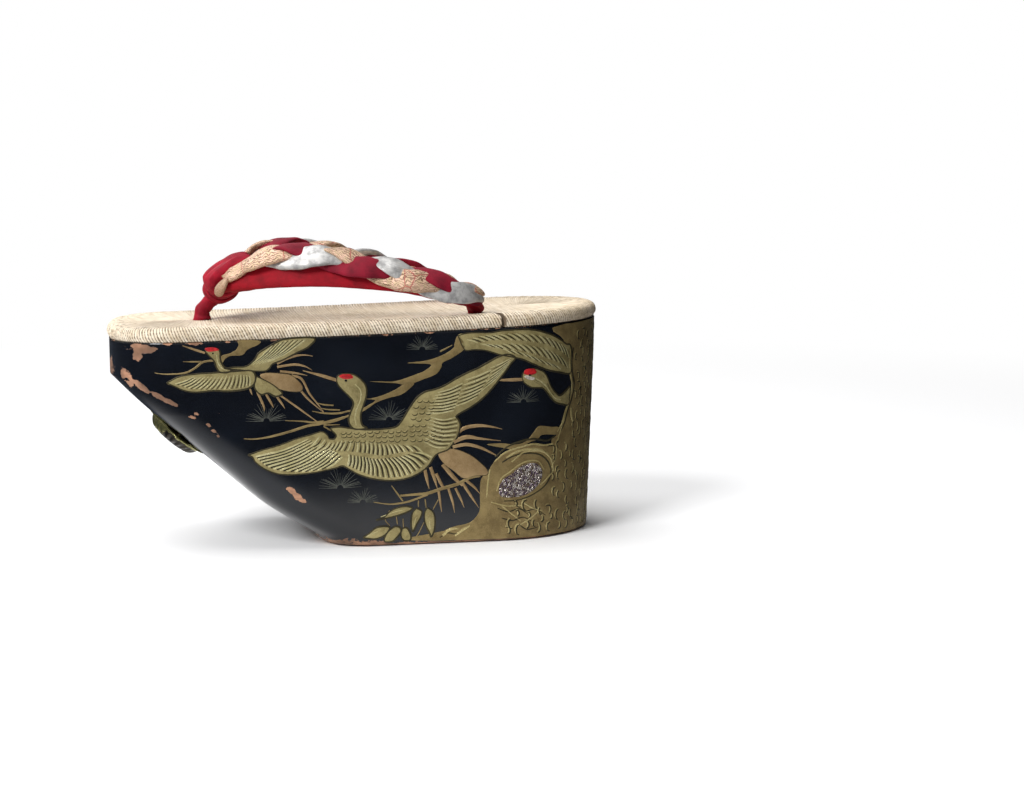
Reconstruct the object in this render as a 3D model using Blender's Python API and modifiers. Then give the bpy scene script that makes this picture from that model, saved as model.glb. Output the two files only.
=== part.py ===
"""One okobo: a tall lacquered platform sandal with a rush mat and a braided thong.

Row frame, in metres: the origin is on the floor under the middle of the mat, the toe points to -X,
the wearer's left is -Y and +Z is up. Every size below is a driving dimension of the real shoe; the
tables hold shares of those sizes, chosen by hand.
"""

import math
from collections import namedtuple

import bmesh
import bpy
from mathutils import Matrix, Vector

MM = 0.001

# Clearance between two pieces that touch.
GAP = 0.3 * MM

# Plan of the platform: mat length and widths, and the rounded ends.
LENGTH = 225.0 * MM
BALL_WIDTH = 97.0 * MM
HEEL_WIDTH = 95.5 * MM
TOE_END = 39.0 * MM
HEEL_END = 50.0 * MM
TOE_POWER = 2.7
HEEL_POWER = 2.0
MAT_OVERHANG = 0.7 * MM

# Height of the wood at toe and heel, the dip between them, and the side's lean.
TOE_HEIGHT = 93.0 * MM
HEEL_HEIGHT = 99.0 * MM
TOP_DIP = 1.0 * MM
DRAFT = 0.040
BASE_ROUND = 1.6 * MM

# The cut under the toe: where its upright band ends, and how far back the floor edge is.
BAND_BOTTOM = 77.0 * MM
UNDERCUT = 93.5 * MM
UNDERCUT_END = 31.0 * MM
UNDERCUT_POWER = 3.4

# The hollow in the underside.
SIDE_WALL = 11.0 * MM
END_WALL = 16.0 * MM
ROOF = 26.0 * MM
HOLLOW_ROUND = 24.0 * MM

# Mat.
MAT_THICKNESS = 6.4 * MM
MAT_FIELD = 5.7 * MM
SLIT_WIDTH = 1.0 * MM
SLIT_LENGTH = 20.0 * MM
SLIT_TURN = math.radians(58.0)

# Thong holes: the toe hole is set back from the mat's toe and slants forward into the undercut, and the
# rear ones, set back from its heel, drop into the hollow.
TOE_HOLE_SETBACK = 42.5 * MM
TOE_HOLE_SLANT = 12.0 * MM
TOE_HOLE_RADIUS = 4.4 * MM
REAR_HOLE_SETBACK = 61.5 * MM
REAR_HOLE_Y = 31.0 * MM
REAR_HOLE_RADIUS = 4.2 * MM
RECESS_RADIUS = 8.5 * MM
RECESS_DEPTH = 8.5 * MM

# Thong: lateral spread, height over the mat, and the round necks in the holes.
STRAP_SPREAD = 38.0 * MM
STRAP_RISE = 24.7 * MM
STRAP_WIDTH = 19.5 * MM
LINING_THICKNESS = 6.4 * MM
BRAID_THICKNESS = 5.4 * MM
BRAID_RELIEF = 3.6 * MM
BRAID_PITCH = 63.0 * MM
KNOT_RADIUS = 6.6 * MM

# Where the holes lie along the shoe.
TOE_HOLE_X = TOE_HOLE_SETBACK - LENGTH / 2
TOE_HOLE_EXIT_X = TOE_HOLE_X - TOE_HOLE_SLANT
REAR_HOLE_X = LENGTH / 2 - REAR_HOLE_SETBACK

# Toe tie.
TIE_WIDTH = 8.0 * MM
TIE_THICKNESS = 2.2 * MM
TIE_KNOT_RADIUS = 6.4 * MM

# Brass cap over the toe knot.
CAP_WIDTH = 31.0 * MM
CAP_LENGTH = 27.0 * MM
CAP_HEIGHT = 5.0 * MM
CAP_FLANGE = 2.4 * MM
CAP_EAR = 7.0 * MM
CAP_SHEET = 0.8 * MM
NAIL_RADIUS = 0.8 * MM
NAIL_HEAD_RADIUS = 1.9 * MM
NAIL_HEAD_HEIGHT = 0.9 * MM
NAIL_LENGTH = 7.0 * MM

# Outline resolution.
END_STEPS = 9
SIDE_STEPS = 6
STRAP_SIDES = 14
ARC_STEPS = 26

# One row for each level of the undercut: height as a share of BAND_BOTTOM, setback as a share of
# UNDERCUT, and how far the section has changed from the round toe to the squarer floor edge.
UndercutRow = namedtuple("UndercutRow", "height setback squareness")
UNDERCUT_ROWS = (
    UndercutRow(0.05, 0.935, 1.0),
    UndercutRow(0.14, 0.815, 1.0),
    UndercutRow(0.26, 0.673, 1.0),
    UndercutRow(0.47, 0.478, 1.0),
    UndercutRow(0.80, 0.171, 0.9),
    UndercutRow(0.90, 0.083, 0.5),
)

# One row for each ring of the mat's section: inset from its edge in millimetres times MM, and height
# over the wood as a share of MAT_THICKNESS.
MatRow = namedtuple("MatRow", "inset height")
MAT_RIM_ROWS = (
    MatRow(0.8 * MM, 0.0),
    MatRow(0.0, 0.30),
    MatRow(0.25 * MM, 0.60),
    MatRow(1.3 * MM, 0.85),
    MatRow(3.4 * MM, 0.985),
    MatRow(6.0 * MM, 1.0),
    MatRow(10.0 * MM, 0.955),
)
MAT_FIELD_INSETS = (20.0 * MM, 36.0 * MM)

# One row for each station of a branch of the thong, from the toe tie to the rear hole: along as a share
# of the distance between the holes, out of STRAP_SPREAD, up of STRAP_RISE, width of STRAP_WIDTH,
# thick of LINING_THICKNESS, and the face's tilt from upright, in degrees.
StrapRow = namedtuple("StrapRow", "along out up width thick tilt")
STRAP_ROWS = (
    StrapRow(0.062, 0.000, 0.700, 0.68, 1.70, 24.0),
    StrapRow(0.092, 0.260, 0.785, 0.74, 1.62, 30.0),
    StrapRow(0.160, 0.480, 0.895, 0.86, 1.35, 46.0),
    StrapRow(0.270, 0.710, 0.985, 1.00, 1.08, 56.0),
    StrapRow(0.420, 0.885, 0.950, 0.96, 0.95, 56.0),
    StrapRow(0.575, 0.975, 0.835, 0.82, 0.92, 54.0),
    StrapRow(0.735, 1.020, 0.690, 0.72, 0.90, 54.0),
    StrapRow(0.870, 1.010, 0.480, 0.64, 0.92, 52.0),
    StrapRow(0.965, 0.930, 0.300, 0.50, 1.00, 48.0),
)

# The braid covers this stretch of a branch, by share of its length.
BRAID_START = 0.070
BRAID_END = 0.965


def clear_scene():
    """Removes what the start-up file holds."""
    for item in list(bpy.data.objects):
        bpy.data.objects.remove(item)


def collection(name):
    """A collection linked to the scene."""
    made = bpy.data.collections.new(name)
    bpy.context.scene.collection.children.link(made)
    return made


def material(name, colour, roughness, metallic=0.0):
    """A Principled material with one colour."""
    made = bpy.data.materials.new(name)
    made.use_nodes = True
    shader = made.node_tree.nodes["Principled BSDF"]
    shader.inputs["Base Color"].default_value = (*colour, 1.0)
    shader.inputs["Roughness"].default_value = roughness
    shader.inputs["Metallic"].default_value = metallic
    return made


def mesh_object(name, points, faces, home, finish=None, smooth=True):
    """An object made from points and faces, with its normals pointing out."""
    mesh = bpy.data.meshes.new(name)
    mesh.from_pydata([tuple(p) for p in points], [], faces)
    work = bmesh.new()
    work.from_mesh(mesh)
    bmesh.ops.recalc_face_normals(work, faces=work.faces)
    work.to_mesh(mesh)
    work.free()
    if finish is not None:
        mesh.materials.append(finish)
    if smooth:
        mesh.shade_smooth()
        mesh.set_sharp_from_angle(angle=math.radians(40.0))
    made = bpy.data.objects.new(name, mesh)
    home.objects.link(made)
    return made


def loft(rings, cap_first, cap_last):
    """Points and faces of a skin over rings of equal count, each end closed by its cap function."""
    count = len(rings[0])
    points = [p for ring in rings for p in ring]
    faces = []
    for level in range(len(rings) - 1):
        low = level * count
        high = low + count
        for i in range(count):
            j = (i + 1) % count
            faces.append((low + i, low + j, high + j, high + i))
    faces += cap_first(0, count)
    faces += cap_last((len(rings) - 1) * count, count)
    return points, faces


def ladder_cap(start, count):
    """Closes a ring that mirrors about its first point with rungs from side to side."""
    half = count // 2
    faces = [(start, start + 1, start + count - 1)]
    for i in range(1, half - 1):
        faces.append((start + i, start + i + 1, start + count - i - 1, start + count - i))
    faces.append((start + half - 1, start + half, start + half + 1))
    return faces


def flat_cap(start, count):
    """Closes a small ring with one face."""
    return [tuple(range(start, start + count))]


def make_cutter(target, cutter):
    """Cuts one object with another, which stays as a wire."""
    cutter.hide_render = True
    cutter.display_type = "WIRE"
    cut = target.modifiers.new("cut_" + cutter.name, "BOOLEAN")
    cut.operation = "DIFFERENCE"
    cut.solver = "EXACT"
    cut.object = cutter


def rounded_end(angle, power):
    """A point of a unit superellipse."""
    c = math.cos(angle)
    s = math.sin(angle)
    exponent = 2.0 / power
    return math.copysign(abs(c) ** exponent, c), math.copysign(abs(s) ** exponent, s)


def half_width(x, inset):
    """Half the platform's width at x, less an inset."""
    share = (x / LENGTH + 0.25) / 0.6
    share = min(1.0, max(0.0, share))
    return (BALL_WIDTH + (HEEL_WIDTH - BALL_WIDTH) * share) / 2 - inset


def outline(toe, heel, inset, toe_end, toe_power, heel_end, heel_power):
    """The plan outline from the heel's tip round by the +Y side: (x, y) points, mirrored about X."""
    side = []
    for i in range(END_STEPS):
        c, s = rounded_end(math.pi / 2 * i / END_STEPS, heel_power)
        x = heel - heel_end + c * heel_end
        side.append((x, s * half_width(x, inset)))
    for i in range(SIDE_STEPS + 1):
        x = heel - heel_end + (toe + toe_end - heel + heel_end) * i / SIDE_STEPS
        side.append((x, half_width(x, inset)))
    for i in range(1, END_STEPS):
        c, s = rounded_end(math.pi / 2 * (1 - i / END_STEPS), toe_power)
        x = toe + toe_end - c * toe_end
        side.append((x, s * half_width(x, inset)))
    mirrored = [(x, -y) for x, y in reversed(side[1:])]
    return side + [(toe, 0.0)] + mirrored


def top_height(x):
    """Height of the wood's top at x."""
    share = x / LENGTH + 0.5
    return TOE_HEIGHT + (HEEL_HEIGHT - TOE_HEIGHT) * share - TOP_DIP * 4 * share * (1 - share)


def mat_top(x):
    """Height of the mat's field at x."""
    return top_height(x) + MAT_FIELD


def wood_half_length():
    """Half the wood's length at its top."""
    return LENGTH / 2 - MAT_OVERHANG


def lean(z):
    """How far the wood's side has leant in at a height."""
    return DRAFT * (TOE_HEIGHT - z)


def block_ring(z, setback, squareness, extra):
    """One level of the wooden block: (x, y, z) points, its toe end moved back by a setback."""
    inset = MAT_OVERHANG + lean(z) + extra
    heel = LENGTH / 2 - inset
    toe = -wood_half_length() + setback + extra
    toe_end = TOE_END + (UNDERCUT_END - TOE_END) * squareness
    toe_power = TOE_POWER + (UNDERCUT_POWER - TOE_POWER) * squareness
    plan = outline(toe, heel, inset, toe_end, toe_power, HEEL_END, HEEL_POWER)
    return [(x, y, z) for x, y in plan]


def block_rings():
    """The levels of the wooden block, floor first."""
    last = UNDERCUT_ROWS[0]
    floor_setback = UNDERCUT * (last.setback + 0.5 * (1 - last.setback))
    rings = [
        block_ring(0.0, UNDERCUT, 1.0, BASE_ROUND),
        block_ring(BASE_ROUND * 0.3, floor_setback, 1.0, BASE_ROUND * 0.3),
    ]
    for row in UNDERCUT_ROWS:
        rings.append(block_ring(row.height * BAND_BOTTOM, row.setback * UNDERCUT, row.squareness, 0.0))
    rings.append(block_ring(BAND_BOTTOM, 0.0, 0.0, 0.0))
    top = block_ring(TOE_HEIGHT, 0.0, 0.0, 0.0)
    rings.append([(x, y, top_height(x)) for x, y, _ in top])
    return rings


def undercut_frame():
    """Where the toe hole leaves the undercut: the point, the way up the face, and the way out of it."""
    upper = UNDERCUT_ROWS[4]
    lower = UNDERCUT_ROWS[3]
    toe = -wood_half_length()
    high = Vector((toe + upper.setback * UNDERCUT, 0.0, upper.height * BAND_BOTTOM))
    low = Vector((toe + lower.setback * UNDERCUT, 0.0, lower.height * BAND_BOTTOM))
    up = (high - low).normalized()
    out = Vector((up.z, 0.0, -up.x)) * -1.0
    share = (TOE_HOLE_EXIT_X - low.x) / (high.x - low.x)
    return low.lerp(high, share), up, out


def cylinder(name, start, end, radius, home, sides=24):
    """A plain closed cylinder between two points."""
    start = Vector(start)
    end = Vector(end)
    work = bmesh.new()
    bmesh.ops.create_cone(work, cap_ends=True, segments=sides, radius1=radius, radius2=radius,
                          depth=(end - start).length)
    mesh = bpy.data.meshes.new(name)
    work.to_mesh(mesh)
    work.free()
    made = bpy.data.objects.new(name, mesh)
    made.location = (start + end) / 2
    made.rotation_mode = "QUATERNION"
    made.rotation_quaternion = (end - start).to_track_quat("Z", "Y")
    home.objects.link(made)
    return made


def toe_hole_line():
    """The toe hole's axis: a point above the mat and one past the undercut."""
    top = Vector((TOE_HOLE_X, 0.0, top_height(TOE_HOLE_X) + MAT_FIELD))
    exit_point, _, _ = undercut_frame()
    way = (exit_point - top).normalized()
    return top, exit_point, way


def hollow_cutter(home):
    """The pocket in the underside, with upright walls."""
    heel = LENGTH / 2 - MAT_OVERHANG - lean(0.0) - END_WALL
    toe = -wood_half_length() + UNDERCUT + END_WALL
    side = MAT_OVERHANG + SIDE_WALL
    roof = top_height(0.0) - ROOF
    rings = []
    for z in (-5 * MM, roof):
        plan = outline(toe, heel, side, HOLLOW_ROUND, 2.4, HOLLOW_ROUND, 2.4)
        rings.append([(x, y, z) for x, y in plan])
    points, faces = loft(rings, ladder_cap, ladder_cap)
    return mesh_object("hollow", points, faces, home, smooth=False)


def nail_places():
    """The two nails of the cap: their points on the undercut, and the way out of the wood."""
    centre, _, out = undercut_frame()
    side = CAP_WIDTH / 2 + CAP_FLANGE + CAP_EAR * 0.42
    return [(centre + Vector((0.0, way * side, 0.0)), out) for way in (-1.0, 1.0)]


def make_block(home, cutters, finish):
    """The platform: one block of wood, hollow beneath, with the thong's holes."""
    points, faces = loft(block_rings(), ladder_cap, ladder_cap)
    block = mesh_object("wooden_block", points, faces, home, finish)
    make_cutter(block, hollow_cutter(cutters))
    for name, way in (("left", -1.0), ("right", 1.0)):
        y = way * REAR_HOLE_Y
        low = top_height(0.0) - ROOF - 4 * MM
        hole = cylinder("rear_hole_" + name, (REAR_HOLE_X, y, low),
                        (REAR_HOLE_X, y, HEEL_HEIGHT + 4 * MM), REAR_HOLE_RADIUS, cutters)
        make_cutter(block, hole)
    top, exit_point, way = toe_hole_line()
    make_cutter(block, cylinder("toe_hole", top + way * 60 * MM, top - way * 4 * MM, TOE_HOLE_RADIUS,
                                cutters))
    _, _, out = undercut_frame()
    make_cutter(block, cylinder("toe_recess", exit_point - out * RECESS_DEPTH, exit_point + out * 6 * MM,
                                RECESS_RADIUS, cutters))
    for number, (spot, normal) in enumerate(nail_places()):
        make_cutter(block, cylinder("nail_hole_%d" % number, spot - normal * (NAIL_LENGTH + GAP),
                                    spot + normal * 4 * MM, NAIL_RADIUS + GAP, cutters, sides=12))
    return block


def mat_ring(inset, height):
    """One ring of the mat's skin, at a height over the wood."""
    reach = LENGTH / 2 - inset
    toe_end = max(TOE_END - inset, 4 * MM)
    heel_end = max(HEEL_END - inset, 4 * MM)
    plan = outline(-reach, reach, inset, toe_end, TOE_POWER, heel_end, HEEL_POWER)
    return [(x, y, top_height(x) + height) for x, y in plan]


def make_mat(home, cutters, finish):
    """The rush mat: a padded sheet with a rolled rim, slit from the rim to each rear hole."""
    rings = []
    for row in MAT_RIM_ROWS:
        rings.append(mat_ring(row.inset, GAP + row.height * (MAT_THICKNESS - GAP)))
    for inset in MAT_FIELD_INSETS:
        rings.append(mat_ring(inset, MAT_FIELD))
    points, faces = loft(rings, ladder_cap, ladder_cap)
    mat = mesh_object("rush_mat", points, faces, home, finish)
    top, _, way = toe_hole_line()
    make_cutter(mat, cylinder("mat_toe_hole", top + way * 12 * MM, top - way * 6 * MM, TOE_HOLE_RADIUS,
                              cutters))
    for name, side in (("left", -1.0), ("right", 1.0)):
        y = side * REAR_HOLE_Y
        low = HEEL_HEIGHT - 8 * MM
        make_cutter(mat, cylinder("mat_hole_" + name, (REAR_HOLE_X, y, low),
                                  (REAR_HOLE_X, y, low + 24 * MM), REAR_HOLE_RADIUS, cutters))
        bpy.ops.mesh.primitive_cube_add(size=1.0)
        slit = bpy.context.active_object
        slit.name = "slit_" + name
        slit.scale = (SLIT_LENGTH, SLIT_WIDTH, 24 * MM)
        turn = side * SLIT_TURN
        reach = SLIT_LENGTH / 2 + REAR_HOLE_RADIUS * 0.5
        slit.rotation_euler = (0.0, 0.0, turn)
        slit.location = (REAR_HOLE_X + math.cos(turn) * reach, y + math.sin(turn) * reach, HEEL_HEIGHT)
        for owner in list(slit.users_collection):
            owner.objects.unlink(slit)
        cutters.objects.link(slit)
        make_cutter(mat, slit)
    return mat


def smooth_curve(points, steps):
    """A Catmull-Rom curve through vectors of any length, with a number of steps to each span."""
    padded = [points[0] * 2 - points[1]] + list(points) + [points[-1] * 2 - points[-2]]
    made = []
    for k in range(1, len(padded) - 2):
        a, b, c, d = padded[k - 1], padded[k], padded[k + 1], padded[k + 2]
        for step in range(steps):
            t = step / steps
            made.append(0.5 * (2 * b + (c - a) * t + (2 * a - 5 * b + 4 * c - d) * t ** 2
                               + (3 * b - a - 3 * c + d) * t ** 3))
    made.append(points[-1])
    return made


Station = namedtuple("Station", "place tangent face side width thick")


def branch_rows():
    """The branch's hand-set stations as vectors: x, y, z, width, thickness, tilt."""
    rows = []
    for row in STRAP_ROWS:
        x = TOE_HOLE_X + row.along * (REAR_HOLE_X - TOE_HOLE_X)
        place = (x, -row.out * STRAP_SPREAD, mat_top(x) + row.up * STRAP_RISE)
        rows.append(Vector((*place, row.width * STRAP_WIDTH, row.thick * LINING_THICKNESS,
                            math.radians(row.tilt))))
    return rows


def neck_rows():
    """The round neck of a branch: through the mat and the wood, and the knot under the roof."""
    roof = top_height(0.0) - ROOF
    neck = 2 * (REAR_HOLE_RADIUS - GAP)
    knot = 2 * KNOT_RADIUS
    inward = KNOT_RADIUS - REAR_HOLE_RADIUS + 1.0 * MM
    tilt = math.radians(30.0)
    spots = (
        (0.0, mat_top(REAR_HOLE_X) + 1.8 * MM, neck * 1.02),
        (0.0, mat_top(REAR_HOLE_X) - 1.5 * MM, neck),
        (0.0, roof + 12 * MM, neck),
        (0.0, roof - 1.0 * MM, neck),
        (inward * 0.12, roof - 3.4 * MM, knot * 0.70),
        (inward * 0.80, roof - 6.5 * MM, knot * 0.86),
        (inward, roof - 9.5 * MM, knot),
        (inward, roof - 13.0 * MM, knot * 0.80),
        (inward, roof - 15.5 * MM, knot * 0.35),
    )
    return [Vector((REAR_HOLE_X, -REAR_HOLE_Y + inn, z, size, size, tilt)) for inn, z, size in spots]


def mirrored(row):
    """A station on the other branch."""
    return Vector((row[0], -row[1], row[2], row[3], row[4], row[5]))


def stations(rows):
    """Frames along a run of stations: the face points away from the foot, the side lies across."""
    made = []
    face = None
    for k, row in enumerate(rows):
        before = rows[max(0, k - 1)]
        after = rows[min(len(rows) - 1, k + 1)]
        tangent = Vector(after[:3]) - Vector(before[:3])
        tangent.normalize()
        upward = Vector((0.0, 0.0, 1.0)) - tangent * tangent.z
        if upward.length > 0.35:
            upward.normalize()
            outward = tangent.cross(upward)
            face = upward * math.cos(row[5]) + outward * math.sin(row[5])
        face = face - tangent * face.dot(tangent) if face else None
        made.append([Vector(row[:3]), tangent, face, row[3], row[4]])
    first = next(item[2] for item in made if item[2])
    result = []
    for place, tangent, face, width, thick in made:
        face = face or first - tangent * first.dot(tangent)
        face = face.normalized()
        result.append(Station(place, tangent, face, tangent.cross(face), width, thick))
    return result


def branch_stations():
    """The near branch above the mat, from the toe tie to just over the rear hole."""
    return stations(smooth_curve(branch_rows(), 6))


def strap_stations():
    """The whole thong from the right-hand knot over the toe to the left-hand knot."""
    near = smooth_curve(branch_rows() + neck_rows()[:1], 4)
    rest = smooth_curve(neck_rows(), 1)[1:]
    half = near + rest
    return stations([mirrored(row) for row in reversed(half[1:])] + half)


def section(station, grow, sides):
    """A ring round a station: an ellipse, its face half swelled a little, grown by a clearance."""
    ring = []
    for i in range(sides):
        angle = 2 * math.pi * i / sides
        across = (station.width / 2 + grow) * math.cos(angle)
        through = (station.thick / 2 + grow) * math.sin(angle)
        ring.append(station.place + station.side * across + station.face * through)
    return ring


def make_strap(home, finish):
    """The velvet-covered padded thong, one piece from knot to knot."""
    rings = [section(station, 0.0, STRAP_SIDES) for station in strap_stations()]
    points, faces = loft(rings, flat_cap, flat_cap)
    return mesh_object("thong_lining", points, faces, home, finish)


def braid_height(distance, across):
    """How far the braid stands up, from 0 to 1: three strands that cross in turn."""
    best = 0.0
    for strand in range(3):
        phase = 2 * math.pi * (distance / BRAID_PITCH + strand / 3)
        middle = -0.55 * math.cos(phase)
        over = 0.5 + 0.5 * math.sin(2 * phase)
        reach = 1 - ((across - middle) / 0.50) ** 2
        if reach > 0:
            best = max(best, math.sqrt(reach) * (0.35 + 0.65 * over))
    return best


def make_braid(name, side, home, finish):
    """The braided face of one branch: a wall over the lining with its strands raised."""
    run = branch_stations()
    lengths = [0.0]
    for before, after in zip(run, run[1:]):
        lengths.append(lengths[-1] + (after.place - before.place).length)
    total = lengths[-1]
    rings = []
    across_steps = 12
    for station, distance in zip(run, lengths):
        share = distance / total
        if not BRAID_START <= share <= BRAID_END:
            continue
        ends = min((share - BRAID_START), (BRAID_END - share)) * total
        fade = min(1.0, 0.30 + ends / (9 * MM))
        outer = []
        inner = []
        for i in range(across_steps + 1):
            angle = math.radians(8.0 + 164.0 * i / across_steps)
            across = math.cos(angle)
            through = math.sin(angle)
            edge = station.side * (station.width / 2 * across) + station.face * (station.thick / 2 * through)
            normal = station.side * (across * station.thick) + station.face * (through * station.width)
            normal.normalize()
            rise = (BRAID_THICKNESS - BRAID_RELIEF) * (0.45 + 0.55 * through)
            rise += BRAID_RELIEF * braid_height(distance, across)
            inner.append(station.place + edge + normal * GAP)
            outer.append(station.place + edge + normal * (GAP + rise * fade))
        rings.append(outer + inner[::-1])
    if side > 0:
        rings = [[Vector((p.x, -p.y, p.z)) for p in ring] for ring in rings]
    points, faces = loft(rings, flat_cap, flat_cap)
    return mesh_object(name, points, faces, home, finish)


def tie_loop():
    """The tie's loop: for each step round the thong, the points of its flat section."""
    run = strap_stations()
    middle = len(run) // 2
    shares = (0.55, 1.0, 1.15, 1.0, 0.55)
    near = run[middle - 2:middle + 3]
    inner = [section(station, GAP, ARC_STEPS) for station in near]
    outer = [section(station, GAP + TIE_THICKNESS * share, ARC_STEPS) for station, share in zip(near, shares)]
    rows = [[ring[i] for ring in outer] + [ring[i] for ring in reversed(inner)] for i in range(ARC_STEPS)]
    return rows, run[middle]


# One row for each ring of the tie's stem: share of the way from the loop's underside to the mat, forward
# bulge in millimetres times MM, and its size across and front to back as shares of TIE_WIDTH.
StemRow = namedtuple("StemRow", "down forward across deep")
STEM_ROWS = (
    StemRow(-0.10, 0.2 * MM, 0.72, 0.62),
    StemRow(0.18, 1.4 * MM, 0.66, 0.66),
    StemRow(0.45, 1.9 * MM, 0.78, 0.76),
    StemRow(0.75, 1.0 * MM, 0.96, 0.84),
    StemRow(0.97, 0.2 * MM, 0.98, 0.90),
)


def make_tie(home, cutters, finish):
    """The toe tie: a loop over the thong whose ends go down the toe hole to a knot under the cap."""
    rings, middle = tie_loop()
    count = len(rings[0])
    points = [p for ring in rings for p in ring]
    faces = []
    for i in range(ARC_STEPS):
        for j in range(count):
            low = i * count
            high = ((i + 1) % ARC_STEPS) * count
            nxt = (j + 1) % count
            faces.append((low + j, low + nxt, high + nxt, high + j))
    tie = mesh_object("toe_tie", points, faces, home, finish)

    top, exit_point, way = toe_hole_line()
    _, _, out = undercut_frame()
    under = middle.place - middle.face * (middle.thick / 2 + GAP + TIE_THICKNESS * 0.5)
    under -= Vector((0.0, 0.0, middle.width * 0.30))
    forward = Vector((-1.0, 0.0, 0.0))
    stem = []
    for row in STEM_ROWS:
        place = under.lerp(top, row.down) + forward * row.forward
        stem.append((place, row.across * TIE_WIDTH / 2, row.deep * TIE_WIDTH / 2))
    neck = TOE_HOLE_RADIUS - GAP
    depth = (exit_point - top).length
    mouth = RECESS_DEPTH / way.dot(out)
    stem.append((top + way * 2 * MM, neck, neck))
    stem.append((top + way * depth * 0.5, neck, neck))
    stem.append((exit_point - way * (mouth - 2.0 * MM), neck * 0.96, neck * 0.96))
    stem.append((exit_point - way * (mouth - 4.4 * MM), TIE_KNOT_RADIUS * 0.74, TIE_KNOT_RADIUS * 0.74))
    for lift, size in ((-3.0 * MM, 1.0), (-0.4 * MM, 0.95), (1.8 * MM, 0.72), (3.0 * MM, 0.3)):
        radius = TIE_KNOT_RADIUS * size
        stem.append((exit_point + out * lift, radius, radius))
    rings = []
    for k, (place, across, deep) in enumerate(stem):
        before = stem[max(0, k - 1)][0]
        after = stem[min(len(stem) - 1, k + 1)][0]
        tangent = (after - before).normalized()
        depthwise = Vector((0.0, 1.0, 0.0)).cross(tangent).normalized()
        ring = []
        for i in range(STRAP_SIDES):
            angle = 2 * math.pi * i / STRAP_SIDES
            ring.append(place + Vector((0.0, across * math.cos(angle), 0.0))
                        + depthwise * (deep * math.sin(angle)))
        rings.append(ring)
    points, faces = loft(rings, flat_cap, flat_cap)
    stem_object = mesh_object("tie_stem", points, faces, cutters)
    stem_object.hide_render = True
    stem_object.display_type = "WIRE"
    trim = mesh_object("thong_room", *thong_room(), cutters)
    make_cutter(stem_object, trim)
    join = tie.modifiers.new("stem", "BOOLEAN")
    join.operation = "UNION"
    join.solver = "EXACT"
    join.object = stem_object
    return tie


def thong_room():
    """The space of the thong's middle stretch with its clearance, which the tie's stem stays out of."""
    run = strap_stations()
    middle = len(run) // 2
    rings = [section(station, GAP * 1.2, STRAP_SIDES * 2) for station in run[middle - 9:middle + 10]]
    return loft(rings, flat_cap, flat_cap)


def cap_edge(angle, reach):
    """Outline of the cap in its own plane: an oval with an ear at each side, grown by a reach."""
    across = math.cos(angle)
    along = math.sin(angle)
    ear = max(0.0, abs(across) - 0.82) / 0.18
    width = CAP_WIDTH / 2 + reach + (CAP_EAR * ear ** 1.5 if reach > 0 else 0.0)
    notch = 0.6 * MM * max(0.0, 1 - abs(across) / 0.3) if along > 0 else 0.0
    return width * across, (CAP_LENGTH / 2 + reach - notch) * along


# One row for each ring of the cap's dome, from the crown out: size as a share of the oval, and height as
# a share of CAP_HEIGHT.
CapRow = namedtuple("CapRow", "size height")
CAP_ROWS = (
    CapRow(0.30, 1.00),
    CapRow(0.58, 0.95),
    CapRow(0.78, 0.78),
    CapRow(0.92, 0.42),
    CapRow(1.00, 0.06),
)


def make_cap(home, cutters, finish):
    """The pressed brass cap over the toe knot, with a flange and two nailed ears."""
    sides = 40
    points = [Vector((0.0, 0.0, CAP_HEIGHT))]
    faces = []
    rows = []
    for row in CAP_ROWS:
        ring = []
        for i in range(sides):
            across, along = cap_edge(2 * math.pi * i / sides, 0.0)
            ring.append(Vector((along * row.size, across * row.size, row.height * CAP_HEIGHT)))
        rows.append(ring)
    for reach in (0.8 * MM, CAP_FLANGE):
        ring = []
        for i in range(sides):
            across, along = cap_edge(2 * math.pi * i / sides, reach)
            ring.append(Vector((along, across, 0.0)))
        rows.append(ring)
    for ring in rows:
        points += ring
    for i in range(sides):
        faces.append((0, 1 + (i + 1) % sides, 1 + i))
    for level in range(len(rows) - 1):
        low = 1 + level * sides
        high = low + sides
        for i in range(sides):
            j = (i + 1) % sides
            faces.append((low + i, low + j, high + j, high + i))
    mesh = bpy.data.meshes.new("brass_cap")
    mesh.from_pydata([tuple(p) for p in points], [], faces)
    mesh.materials.append(finish)
    mesh.shade_smooth()
    cap = bpy.data.objects.new("brass_cap", mesh)
    home.objects.link(cap)
    centre, up, out = undercut_frame()
    across = out.cross(up)
    turn = Matrix((up, across, out)).transposed()
    cap.matrix_world = Matrix.Translation(centre + out * (GAP + CAP_SHEET)) @ turn.to_4x4()
    shell = cap.modifiers.new("sheet", "SOLIDIFY")
    shell.thickness = CAP_SHEET
    shell.offset = -1.0
    for number, (spot, normal) in enumerate(nail_places()):
        make_cutter(cap, cylinder("ear_hole_%d" % number, spot - normal * 4 * MM, spot + normal * 4 * MM,
                                  NAIL_RADIUS + GAP, cutters, sides=12))
    return cap


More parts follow.
